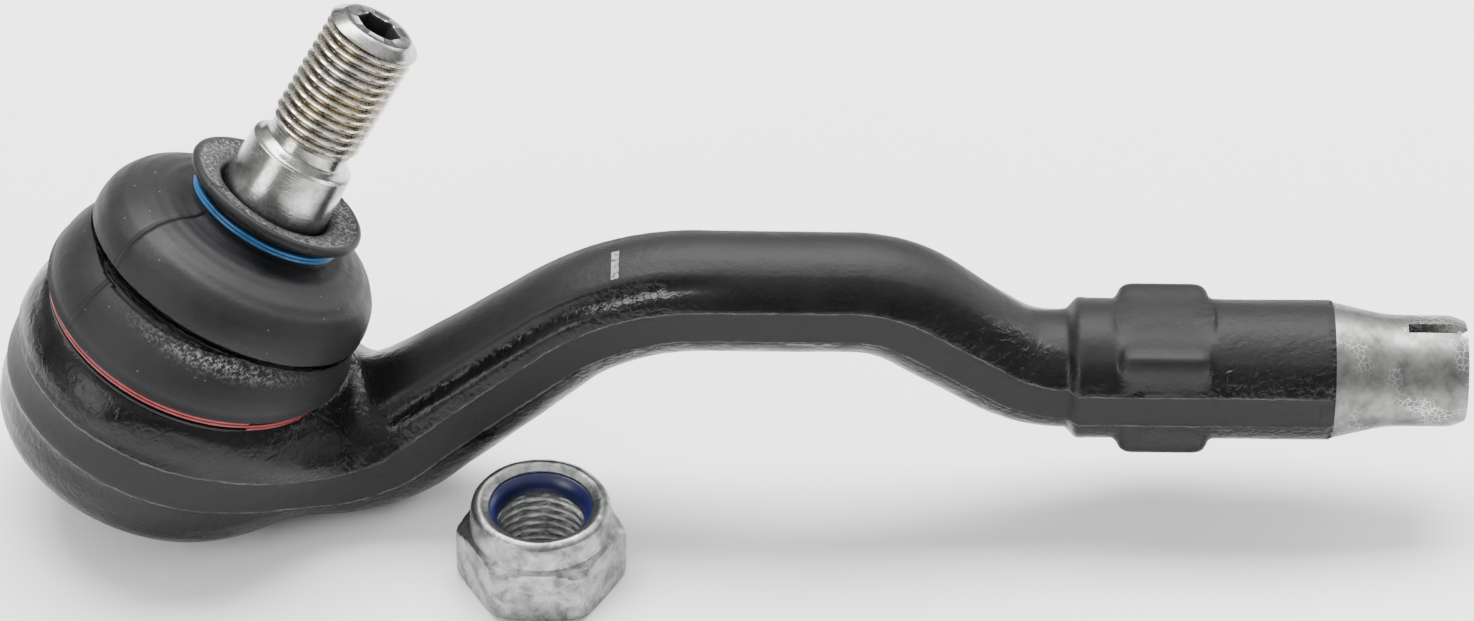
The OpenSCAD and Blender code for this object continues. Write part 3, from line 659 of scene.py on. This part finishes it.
def makeStud():
    # one line from the ball to the undercut, the thread's rows, then the point and the hexagon socket in it
    size, angle = stud, fullTurn(stud["columns"])
    ball, waist = size["ballRadius"], size["waistRadius"]
    journal, neck = size["journalRadius"], size["neckRadius"]
    seatFoot, seatTop, wide = size["seatFoot"], size["seatTop"], size["seatRadius"]
    low, high = math.asin(size["ballFlat"] / ball), math.acos(waist / ball)
    foot = ball * math.cos(low)
    line = [(foot - 1.5, size["ballFlat"]), (foot - 0.1, size["ballFlat"])]
    line += [(ball * math.cos(a), ball * math.sin(a)) for a in np.linspace(low, high, 40)]
    line += [(waist, 14), (waist, 19.5), (7.0, 20.6), (7.6, 21.8), (journal, size["journalFoot"]),
             (journal, seatFoot - 0.1), (wide, seatFoot)]
    line += [(wide + (size["seatTopRadius"] - wide) * t, seatFoot + (seatTop - seatFoot) * t)
             for t in np.linspace(0.02, 0.98, 14)]
    # a rounded edge, a shallow cone, then a hollow up to the first turn of the thread
    edge = roundedLine([line[-1] + (0,), (7.95, seatTop, 0.25), (7.3, seatTop + 0.25, 0.3),
                        (6.75, seatTop + 0.95, 0.5), (neck, seatTop + 1.35, 0.6),
                        (neck, size["threadFoot"] - 0.1)], 4)
    rows = revolve(np.array(line + [tuple(p) for p in edge[1:]]), size["columns"])

    foot, end, top, point = size["threadFoot"], size["threadTop"], size["top"], size["pointRadius"]
    z = np.arange(foot, end + 0.01, size["pitch"] / 12)[:, None]
    r = threadRadius(z, angle, size["threadRadius"], size["pitch"], size["threadDepth"])
    r = neck + (r - neck) * smoothstep(z, foot - 0.2, foot + 1.6)
    r = smoothMin(r, point + 0.35 + (top - z) * 0.68, 0.25)

    coneFoot = point + 0.35 + (top - end) * 0.68
    wall = hexagon(angle + math.radians(8), size["socketFlats"])
    tip = [(coneFoot - 0.08, end + 0.35), (coneFoot - 0.35, end + 0.8), (point + 0.3, top - 0.4),
           (point + 0.1, top - 0.15), (point - 0.15, top - 0.03), (point - 0.4, top),
           (np.maximum(wall + 0.12, 3.42), top), (wall + 0.12, top - 0.12)]
    tip += [(wall, top - deep) for deep in (0.4, 2.0, 4.0, size["socketDepth"])]
    rows = np.concatenate([rows, polar(r, angle, z), np.array([polar(r, angle, z) for r, z in tip])])
    poles = studFrame @ (0, 0, size["ballFlat"]), studFrame @ (0, 0, top - size["socketDepth"] - 1.4)
    return ringsMesh("ballStud", place(rows, studFrame), poles=poles, smooth=32)


def threadSteel():
    # rolled thread, lightly oiled: yellowish oil stains in the roots, which are also painted darker as
    # painted shade, and the crests painted bright as a painted highlight
    finish, tree, shader, where = newFinish("oiledThreadSteel", "#9b978c", 0.24, 1.0)
    along = addNode(tree, "VectorMath", {0: where, 1: tuple(studAxis)}, "Value", operation="DOT_PRODUCT")
    axis = addNode(tree, "VectorMath", {0: tuple(studAxis), "Scale": along}, "Vector", operation="SCALE")
    radius = addNode(tree, "VectorMath", {0: where, 1: axis}, "Value", operation="DISTANCE")
    # by the distance from the axis: painted highlight on the crests, painted shade in the roots
    crest = addNode(tree, "MapRange", {0: radius, 1: 6.15 * mm, 2: 6.9 * mm})
    stain = addNode(tree, "TexNoise", {"Vector": where, "Scale": 120.0, "Detail": 4.0, "Roughness": 0.6})
    oily = addNode(tree, "MapRange", {0: stain, 1: 0.4, 2: 0.6})
    # the roots' colour: oil stain tones, darkened as painted shade
    root = addNode(tree, "Mix", {0: oily, 6: colour("#6f6d68"), 7: colour("#7a7058")}, 2, data_type="RGBA")
    shade = addNode(tree, "Mix", {0: crest, 6: root, 7: colour("#cfccc4")}, 2, data_type="RGBA")
    tree.links.new(shade, shader.inputs["Base Color"])
    fine = addNode(tree, "TexNoise", {"Vector": where, "Scale": 2500.0, "Detail": 3.0})
    tree.links.new(addNode(tree, "MapRange", {0: fine, 1: 0.3, 2: 0.7, 3: 0.18, 4: 0.34}),
                   shader.inputs["Roughness"])
    tree.links.new(addNode(tree, "Bump", {"Height": fine, "Distance": 0.015 * mm}), shader.inputs["Normal"])
    return finish


def darkSocket():
    # blind hexagon broached in the end: its walls are painted near-black as painted shade in the hole
    finish, tree, shader, where = newFinish("paintedShadeSocket", "#141312", 0.5, 0.4)
    grain = addNode(tree, "TexNoise", {"Vector": where, "Scale": 1500.0, "Detail": 3.0})
    # painted shade: the socket's walls near-black, with a fine grain
    shade = addNode(tree, "Mix", {0: grain, 6: colour("#0b0a0a"), 7: colour("#2a2725")}, 2, data_type="RGBA")
    tree.links.new(shade, shader.inputs["Base Color"])
    return finish


ballStud = makeStud()
groundSteel = turnedSteel("groundStudSteel", studAxis, "#7d7c7a", "#bdbcba", 0.2)
for finish in (groundSteel, threadSteel(), darkSocket()):
    ballStud.data.materials.append(finish)
centre = readOut(ballStud.data.polygons, "center") / mm @ studFrame
h, r = centre[:, 2], np.hypot(centre[:, 0], centre[:, 1])
part = np.where((h > stud["threadFoot"]) & (h < stud["threadTop"] - 0.1), 1, 0)
# the socket's walls take the painted shade finish
part = np.where((h > 50) & (r < 3.7) & (h < stud["top"] - 0.25), 2, part)
ballStud.data.polygons.foreach_set("material_index", part.astype(np.int32))
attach(ballStud, "stud")
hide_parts("ball_stud")
print("stud done:", len(centre), "faces")


nut = {
    "at": (53.7, -20.0, -23.794), "flats": 22.0, "hexHeight": 9.4, "height": 14.0, "collarRadius": 10.4,
    "lipRadius": 7.6, "recessRadius": 8.62, "recessFoot": 9.95, "boreRadius": 6.19, "pitch": 1.5,
    "columns": 192,
}


def makeNut():
    # both ends of the hexagon are turned to a cone, r = 10.5 + 2.6z below and 10.75 + 1.62(top - z) above
    size, angle = nut, fullTurn(nut["columns"])
    hexTop, collar = size["hexHeight"], size["collarRadius"]
    lip, recess = size["lipRadius"], size["recessRadius"]
    flat = hexagon(angle, size["flats"] - 0.02)
    corner = flat - 0.22 * bell((angle + np.pi / 6) % (np.pi / 3) - np.pi / 6, 0, 0.035)
    rings = [(7.3, 0.0), (10.2, 0.0)]
    for z in (0.02, 0.15, 0.35, 0.6, 0.9, 1.3, 3.0, 5.0, 6.6, 7.2, 7.6, 8.0, 8.4, 8.8, 9.1, 9.4):
        r = smoothMin(np.minimum(corner, 10.5 + z * 2.6), 10.75 + (hexTop - z) * 1.62, 0.35)
        rings.append((np.minimum(r, flat), z))
    shoulder = roundedLine([(10.75, hexTop, 0), (10.45, hexTop + 0.25, 0.25), (collar - 0.02, 10.4, 0.5),
                            (collar, 12.2, 1.0), (collar - 0.35, 13.55, 0.9),
                            (collar - 1.25, size["height"], 0.7), (8.6, 13.85, 0.5), (lip, 13.2, 0.4),
                            (lip + 0.02, 12.95, 0.1), (recess, 12.93, 0), (recess, size["recessFoot"], 0),
                            (6.9, size["recessFoot"], 0)], 6)
    # the collar is rolled over the insert, a little unevenly
    uneven = 1 + 0.004 * np.sin(3 * angle + 1) + 0.003 * np.sin(7 * angle)
    rings += [(r * (uneven if z > 11 and r > 8.1 else 1), z) for r, z in shoulder[1:]]
    z = np.arange(9.6, 0.55, -size["pitch"] / 12)[:, None]
    r = threadRadius(z, angle, size["boreRadius"] + 0.02, size["pitch"], 0.8, True)
    r = np.maximum(r, 6.9 - (9.6 - z) * 0.9)
    rows = np.concatenate([np.array([polar(r, angle, z) for r, z in rings]), polar(r, angle, z)])
    return ringsMesh("lockNut", place(rows, np.eye(3), size["at"]), closedRows=True, smooth=30)


def makeInsert():
    line = roundedLine([(6.37, 10.03, 0), (8.58, 10.03, 0.15), (8.58, 12.88, 0.2), (7.6, 12.88, 0.5),
                        (6.75, 12.1, 0.8), (6.37, 11.2, 0.4), (6.37, 10.03)], 5)
    rows = place(revolve(line[:-1], 144), np.eye(3), nut["at"])
    return ringsMesh("nylonInsert", rows, closedRows=True, smooth=40)


def zincPlate():
    # bright zinc on cold-formed steel: light grey with a cloudy spangle and small dents
    finish, tree, shader, where = newFinish("brightZinc", "#a9aba8", 0.34, 1.0)
    cloud = addNode(tree, "TexNoise", {"Vector": where, "Scale": 330.0, "Detail": 6.0, "Roughness": 0.68,
                                       "Distortion": 0.5})
    shade = addNode(tree, "Mix", {0: addNode(tree, "MapRange", {0: cloud, 1: 0.36, 2: 0.64}),
                                  6: colour("#656867"), 7: colour("#a9aba8")}, 2, data_type="RGBA")
    speck = addNode(tree, "TexNoise", {"Vector": where, "Scale": 1700.0, "Detail": 4.0, "Roughness": 0.7})
    pits = addNode(tree, "MapRange", {0: speck, 1: 0.4, 2: 0.3, 4: 0.5})
    shade = addNode(tree, "Mix", {0: pits, 6: shade, 7: colour("#5a5d5c")}, 2, data_type="RGBA")
    tree.links.new(shade, shader.inputs["Base Color"])
    tree.links.new(addNode(tree, "MapRange", {0: cloud, 1: 0.3, 2: 0.7, 3: 0.42, 4: 0.27}),
                   shader.inputs["Roughness"])
    normal = addNode(tree, "Bump", {"Height": cloud, "Distance": 0.16 * mm})
    normal = addNode(tree, "Bump", {"Height": speck, "Distance": 0.035 * mm, "Normal": normal})
    tree.links.new(normal, shader.inputs["Normal"])
    return finish


def nylon():
    # dyed nylon, deep blue, smooth and slightly waxy
    finish, tree, shader, where = newFinish("deepBlueNylon", "#0e123f", 0.36)
    cloud = addNode(tree, "TexNoise", {"Vector": where, "Scale": 500.0, "Detail": 3.0})
    shade = addNode(tree, "Mix", {0: cloud, 6: colour("#0a0d30"), 7: colour("#141a4e")}, 2, data_type="RGBA")
    tree.links.new(shade, shader.inputs["Base Color"])
    shader.inputs["Subsurface Weight"].default_value = 0.04
    shader.inputs["Subsurface Scale"].default_value = 0.4 * mm
    return finish


lockNut = makeNut()
lockNut.data.materials.append(zincPlate())
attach(lockNut, "nut")
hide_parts("lock_nut")
nylonInsert = makeInsert()
nylonInsert.data.materials.append(nylon())
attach(nylonInsert, "nut")
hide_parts("nylon_insert")
print("nut and insert done")


boot = {
    "columns": 288, "wall": 2.2, "foldBall": 25.5,
    "partingAt": 213.0,     # where the mould's parting line runs, about the housing axis
    # below: (radius, height) in the housing's frame, above: in the frame of the upper bulge
    "lower": [(22.2, 9.37), (22.95, 10.2), (23.05, 11.5), (22.6, 13.0), (21.8, 14.6), (20.9, 16.0),
              (19.9, 17.2), (18.7, 18.4)],
    "upper": [(17.0, 12.9), (19.8, 13.5), (21.4, 14.6), (21.95, 16.3), (21.95, 18.4), (21.45, 20.72),
              (20.0, 22.9), (17.6, 24.5), (14.2, 25.5), (11.6, 25.75)],
    "collar": [(11.35, 25.9), (11.0, 26.2), (10.85, 26.45), (10.85, 28.15), (11.1, 28.35), (12.2, 28.75),
               (13.3, 29.25), (13.75, 29.7), (13.88, 30.2), (13.8, 30.6), (13.45, 30.88), (13.0, 30.9),
               (12.6, 30.72), (12.2, 30.55), (11.2, 30.5), (10.2, 30.35), (9.4, 30.15), (8.95, 29.8),
               (8.72, 29.2), (8.62, 28.4), (8.4, 27.5), (8.35, 26.0), (8.4, 24.3)],
}


def bySight(line):
    # a (radius, height) line as distance from the ball's centre against elevation
    line = np.array(line)
    fine = np.concatenate([line[i] + (line[i + 1] - line[i]) * np.linspace(0, 1, 12, endpoint=False)[:, None]
                           for i in range(len(line) - 1)] + [line[-1:]])
    window = np.hanning(13) / np.hanning(13).sum()
    fine = np.stack([np.convolve(np.pad(fine[:, k], 6, mode="edge"), window, "valid") for k in (0, 1)], -1)
    elevation = np.arctan2(fine[:, 1], fine[:, 0])
    order = np.argsort(elevation)
    return elevation[order], np.hypot(fine[:, 0], fine[:, 1])[order]


def leanedBy(points, share):
    # each point turned by its own share of the stud's lean
    side = turnZ(joint["swingTurn"])
    p, lean = points @ side, np.radians(joint["swingRest"]) * share
    p = np.stack([p[..., 0] * np.cos(lean) + p[..., 2] * np.sin(lean), p[..., 1],
                  -p[..., 0] * np.sin(lean) + p[..., 2] * np.cos(lean)], -1)
    return p @ (turnY(joint["housingTilt"]) @ side).T


def bootRows():
    # the boot's rows from its foot up over the outside and back down inside, one column per direction
    size, angle = boot, fullTurn(boot["columns"])
    seam = math.radians(size["partingAt"])
    # columns crowd towards the two ends of the mould's parting plane
    angle = angle - 0.3 * np.sin(2 * (angle - seam))
    away = np.abs(np.sin(angle - seam)) * 22
    ridge, nick = bell(away, 0, 0.3), bell(away, 0.45, 0.2)

    lowSight, lowFar = bySight(size["lower"])
    highSight, highFar = bySight(size["upper"])
    middle = leaned(joint["bulgeShare"])

    def shape(sight, soft):
        # distance from the ball's centre, on each line of sight: the larger of two bulges and the fold's wall
        follows = smoothstep(np.degrees(sight), 27, 60)
        direction = leanedBy(polar(np.cos(sight), angle, np.sin(sight)), follows)
        el = np.arcsin(np.clip((direction @ housingFrame)[..., 2], -1, 1))
        eu = np.arcsin(np.clip((direction @ middle)[..., 2], -1, 1))
        low, high = np.interp(el, lowSight, lowFar, right=23), np.interp(eu, highSight, highFar, left=22)
        under = smoothMax(low, size["foldBall"] + 0 * low, soft)
        far = smoothMax(under, high, soft * 0.4)
        far = far + (0.2 * ridge - 0.12 * nick) * (0.3 + 0.7 * smoothstep(far, 25.3, 26.5))
        # shallow rings left by the mould
        far = far + 0.035 * np.sin(eu * 90) * smoothstep(np.degrees(eu), 47, 52)
        return direction, far, high - under

    start, end = math.atan2(9.4, 22.2), math.atan2(25.7, 11.6)
    # rows gather at the crease, which every column finds for itself
    probe = np.radians(np.linspace(26, 58, 650))[:, None] + 0 * angle
    crease = probe[:, 0][np.argmax(shape(probe, 0.3)[2] > 0, axis=0)]
    window = np.hanning(9) / np.hanning(9).sum()
    crease = np.convolve(np.pad(crease, 4, mode="wrap"), window, "valid")
    share = np.linspace(0, 1, 110)[:, None]
    first, last = crease - math.radians(0.5), crease + math.radians(3.0)
    sight = np.where(share < 0.3, start + (first - start) * share / 0.3,
                     np.where(share < 0.62, first + (last - first) * (share - 0.3) / 0.32,
                              last + (end - last) * (share - 0.62) / 0.38))
    direction, far, _ = shape(sight, 0.3)

    foot = roundedLine([(19.06, 6.85), (22.25, 6.85, 0.1), (22.3, 7.4, 0.1), (21.25, 7.47, 0.1),
                        (21.25, 9.37, 0.1), (22.2, 9.4)], 3)
    rows = [place(polar(r, angle, z), housingFrame) for r, z in foot]
    # talc lies in the fold, at the front
    talc = bell(np.degrees(crease - sight), 2.0, 2.1) * bell(np.degrees(angle) % 360, 274, 27)
    talc = np.concatenate([np.zeros((len(rows), size["columns"])), 0.95 * talc])
    rows += list(direction * far[..., None])
    for r, z in size["collar"]:
        here = place(polar(r + (0.1 * ridge if r > 13 else 0), angle, z), studFrame)
        if z > 29 and r > 9.4:
            wave = 0.05 * np.sin(2 * angle + 0.6) + 0.04 * np.sin(5 * angle) - 0.16 * bell(away, 0, 0.3)
            here = here + studAxis * wave[:, None]
        rows.append(here)
    outer = len(rows)

    # the inside keeps a wall's thickness along the same lines of sight
    direction, far, _ = shape(sight[-6::-3], 0.9)
    rows += list(direction * (far - size["wall"])[..., None])
    rows += [place(polar(r, angle, z), housingFrame) for r, z in ((19.9, 11.0), (19.9, 9.7), (19.06, 9.67))]
    return np.array(rows), outer, away, talc


def bootRubber():
    # moulded chloroprene: matt black with a grey bloom, talc left in the fold and along the top lip
    finish, tree, shader, where = newFinish("mouldedRubber", "#151516", 0.56, specular=0.3)
    bloom = addNode(tree, "TexNoise", {"Vector": where, "Scale": 95.0, "Detail": 5.0, "Roughness": 0.62})
    shade = addNode(tree, "Mix", {0: addNode(tree, "MapRange", {0: bloom, 1: 0.36, 2: 0.66}),
                                  6: colour("#0e0e0f"), 7: colour("#19191b")}, 2, data_type="RGBA")
    powder = addNode(tree, "Attribute", {}, "Fac", attribute_name="powder")
    grains = addNode(tree, "TexNoise", {"Vector": where, "Scale": 1900.0, "Detail": 4.0, "Roughness": 0.75})
    dusty = addNode(tree, "Math", {0: powder, 1: addNode(tree, "MapRange", {0: grains, 1: 0.47, 2: 0.62})},
                    operation="MULTIPLY")
    shade = addNode(tree, "Mix", {0: dusty, 6: shade, 7: colour("#8a8a8c")}, 2, data_type="RGBA")
    specks = addNode(tree, "TexVoronoi", {"Vector": where, "Scale": 420.0}, "Distance")
    specks = addNode(tree, "MapRange", {0: specks, 1: 0.075, 2: 0.05, 4: 0.35})
    shade = addNode(tree, "Mix", {0: specks, 6: shade, 7: colour("#77777a")}, 2, data_type="RGBA")
    # painted shade: the mould's parting line is painted nearly black, for the shade in the nick beside its
    # ridge
    line = addNode(tree, "Attribute", {}, "Fac", attribute_name="parting")
    line = addNode(tree, "Math", {0: line, 1: 0.9}, operation="MULTIPLY")
    shade = addNode(tree, "Mix", {0: line, 6: shade, 7: colour("#050505")}, 2, data_type="RGBA")
    tree.links.new(shade, shader.inputs["Base Color"])
    tree.links.new(addNode(tree, "MapRange", {0: bloom, 1: 0.3, 2: 0.7, 3: 0.47, 4: 0.66}),
                   shader.inputs["Roughness"])
    normal = addNode(tree, "Bump", {"Height": grains, "Distance": 0.03 * mm})
    normal = addNode(tree, "Bump", {"Height": bloom, "Distance": 0.25 * mm, "Normal": normal})
    tree.links.new(normal, shader.inputs["Normal"])
    return finish


def makeBoot():
    rows, outer, away, talc = bootRows()
    piece = ringsMesh("dustBoot", rows, closedRows=True, smooth=50)
    points = rows.reshape(-1, 3)
    up = points @ studFrame
    lip = bell(up[:, 2], 30.6, 0.45) * smoothstep(np.hypot(up[:, 0], up[:, 1]), 8.6, 9.6) \
        * (1 - smoothstep(np.hypot(up[:, 0], up[:, 1]), 12.6, 13.2))
    powder = 0.75 * lip
    powder[:talc.size] += talc.ravel()
    powder[outer * boot["columns"]:] = 0
    # where the parting line's painted shade lies: on the nick beside the ridge
    line = bell(np.tile(away, len(rows)), 0.42, 0.2)
    for name, values in (("powder", powder), ("parting", line)):
        field = piece.data.attributes.new(name, "FLOAT", "POINT")
        field.data.foreach_set("value", values.astype(np.float32))
    piece.data.materials.append(bootRubber())
    return piece


dustBoot = makeBoot()
bpy.context.view_layer.update()
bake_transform(dustBoot)
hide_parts("dust_boot")
print("boot done:", len(dustBoot.data.polygons), "faces")


rings = {
    # radii, height of the lowest edge, the wire's own height, rise per turn, where the lower end lies
    "lower": {"inner": 21.3, "outer": 22.58, "foot": 7.5, "wire": 0.57, "pitch": 0.58, "end": -66.0},
    "upper": {"inner": 10.92, "outer": 11.85, "foot": 26.5, "wire": 0.54, "pitch": 0.56, "end": 150.0},
}


def wireRing(name, size, frame):
    # two turns of flat wire wound as a helix; its section |u/wide|^4.4 + |v/high|^4 = 1 has rounded corners
    turn = np.linspace(0, 4 * np.pi, 360)
    corner = fullTurn(20)
    wide, high = (size["outer"] - size["inner"]) / 2, size["wire"] / 2
    u = np.sign(np.cos(corner)) * np.abs(np.cos(corner)) ** 0.45 * wide
    v = np.sign(np.sin(corner)) * np.abs(np.sin(corner)) ** 0.5 * high
    angle = turn + math.radians(size["end"])
    middle = size["foot"] + high + size["pitch"] * turn / (2 * np.pi) * 0.98
    rows = polar((size["inner"] + size["outer"]) / 2 + u, angle[:, None], middle[:, None] + v)
    rows = place(rows[:, ::-1], frame)
    return ringsMesh(name, rows, poles=(rows[0].mean(0), rows[-1].mean(0)), smooth=50)


def springWire(name, main, pale):
    # flat spring wire in thin coloured lacquer: satin, rubbed paler in patches
    finish, tree, shader, where = newFinish(name, main, 0.4)
    rubbed = addNode(tree, "TexNoise", {"Vector": where, "Scale": 260.0, "Detail": 5.0, "Roughness": 0.7})
    share = addNode(tree, "MapRange", {0: rubbed, 1: 0.42, 2: 0.72, 4: 0.8})
    shade = addNode(tree, "Mix", {0: share, 6: colour(main), 7: colour(pale)}, 2, data_type="RGBA")
    tree.links.new(shade, shader.inputs["Base Color"])
    tree.links.new(addNode(tree, "MapRange", {0: rubbed, 1: 0.3, 2: 0.7, 3: 0.34, 4: 0.48}),
                   shader.inputs["Roughness"])
    return finish


lowerRing = wireRing("lowerBootRing", rings["lower"], housingFrame)
lowerRing.data.materials.append(springWire("redLacqueredWire", "#701317", "#96393b"))
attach(lowerRing, "housing")
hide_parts("lower_boot_ring")
upperRing = wireRing("upperBootRing", rings["upper"], studFrame)
upperRing.data.materials.append(springWire("blueLacqueredWire", "#174f7d", "#2f74aa"))
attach(upperRing, "boot_top")
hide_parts("upper_boot_ring")
print("rings done")


def acetal():
    # moulded bearing plastic, off-white and waxy, greasy where the ball turns
    finish, tree, shader, where = newFinish("acetalRace", "#d9d6cb", 0.42)
    grease = addNode(tree, "TexNoise", {"Vector": where, "Scale": 160.0, "Detail": 4.0})
    greasy = addNode(tree, "MapRange", {0: grease, 1: 0.4, 2: 0.6})
    shade = addNode(tree, "Mix", {0: greasy, 6: colour("#d9d6cb"), 7: colour("#c3ab72")}, 2, data_type="RGBA")
    tree.links.new(shade, shader.inputs["Base Color"])
    return finish


def rolledPlate():
    # cold-rolled closing plate, rust-proofed: mid grey with faint clouding
    finish, tree, shader, where = newFinish("phosphatedPlate", "#55585a", 0.48, 0.85)
    cloud = addNode(tree, "TexNoise", {"Vector": where, "Scale": 200.0, "Detail": 5.0, "Roughness": 0.65})
    shade = addNode(tree, "Mix", {0: cloud, 6: colour("#44474a"), 7: colour("#6d7072")}, 2, data_type="RGBA")
    tree.links.new(shade, shader.inputs["Base Color"])
    tree.links.new(addNode(tree, "Bump", {"Height": cloud, "Distance": 0.05 * mm}), shader.inputs["Normal"])
    return finish


def blueTemper():
    # hardened spring steel with its dark blue temper colour
    finish, tree, shader, where = newFinish("temperedSpring", "#2b3040", 0.32, 1.0)
    tint = addNode(tree, "TexNoise", {"Vector": where, "Scale": 150.0, "Detail": 2.0})
    shade = addNode(tree, "Mix", {0: tint, 6: colour("#23283a"), 7: colour("#4a4438")}, 2, data_type="RGBA")
    tree.links.new(shade, shader.inputs["Base Color"])
    return finish


# the pieces hidden in the housing keep their designed shapes
plate, race, spring = rolledPlate(), acetal(), blueTemper()
for name, finish in (("closing_plate", plate), ("preload_spring", spring), ("lower_race", race),
                     ("upper_race", race)):
    hidden = bpy.data.objects[name]
    hidden.data.materials.clear()
    hidden.data.materials.append(finish)
print("hidden pieces done")


studio = {
    "floorHeight": -23.79, "floorReach": 3000,
    "target": (82.1, 0.0, 10.2), "distance": 1000.0, "elevation": 40.0, "roll": 0.6,
    "focal": 166.81, "sensor": 36.0,
}


def makeStudio():
    corners = [(x * studio["floorReach"], y * studio["floorReach"], studio["floorHeight"])
               for x, y in ((-1, -1), (1, -1), (1, 1), (-1, 1))]
    floor = makeMesh("floor", corners, [(0, 1, 2, 3)])
    floor.data.materials.append(newFinish("paleFloor", "#fcfcfc", 0.8, specular=0.1)[0])

    world = bpy.data.worlds.new("studio")
    bpy.context.scene.world = world
    world.use_nodes = True
    # the surroundings are bright overhead and dim at the height of the part
    tree = world.node_tree
    z = addNode(tree, "SeparateXYZ", {0: addNode(tree, "TexCoord", {}, "Generated")}, "Z")
    glow = addNode(tree, "MapRange", {0: z, 1: 0.1, 2: 0.75, 3: 0.2, 4: 1.2})
    tree.links.new(glow, tree.nodes["Background"].inputs["Strength"])
    tree.nodes["Background"].inputs["Color"].default_value = (1, 1, 1, 1)

    def softbox(name, at, width, height, watts, aim=(0.08, 0, 0.01)):
        light = bpy.data.lights.new(name, "AREA")
        light.shape, light.size, light.size_y, light.energy = "RECTANGLE", width, height, watts
        lamp = bpy.data.objects.new(name, light)
        lamp.location = at
        lamp.rotation_euler = (Vector(aim) - Vector(at)).to_track_quat("-Z", "Y").to_euler()
        bpy.context.scene.collection.objects.link(lamp)

    softbox("overhead", (0.05, 0.25, 0.7), 0.9, 0.35, 18)
    softbox("leftFront", (-0.6, -0.5, 0.35), 0.35, 0.5, 3.5)
    softbox("rightBack", (0.75, 0.45, 0.4), 0.4, 0.4, 3.5)

    lens = bpy.data.cameras.new("camera")
    lens.lens, lens.sensor_width, lens.clip_start, lens.clip_end = studio["focal"], studio["sensor"], 0.05, 20
    camera = bpy.data.objects.new("camera", lens)
    tilt = math.radians(studio["elevation"])
    target = Vector(studio["target"])
    camera.location = (target + Vector((0, -math.cos(tilt), math.sin(tilt))) * studio["distance"]) * mm
    look = (target * mm - camera.location).to_track_quat("-Z", "Y").to_matrix().to_4x4()
    look = look @ Matrix.Rotation(math.radians(studio["roll"]), 4, "Z")
    camera.rotation_euler = look.to_euler()
    bpy.context.scene.collection.objects.link(camera)
    bpy.context.scene.camera = camera


makeStudio()
bpy.context.view_layer.update()
print("scene done")
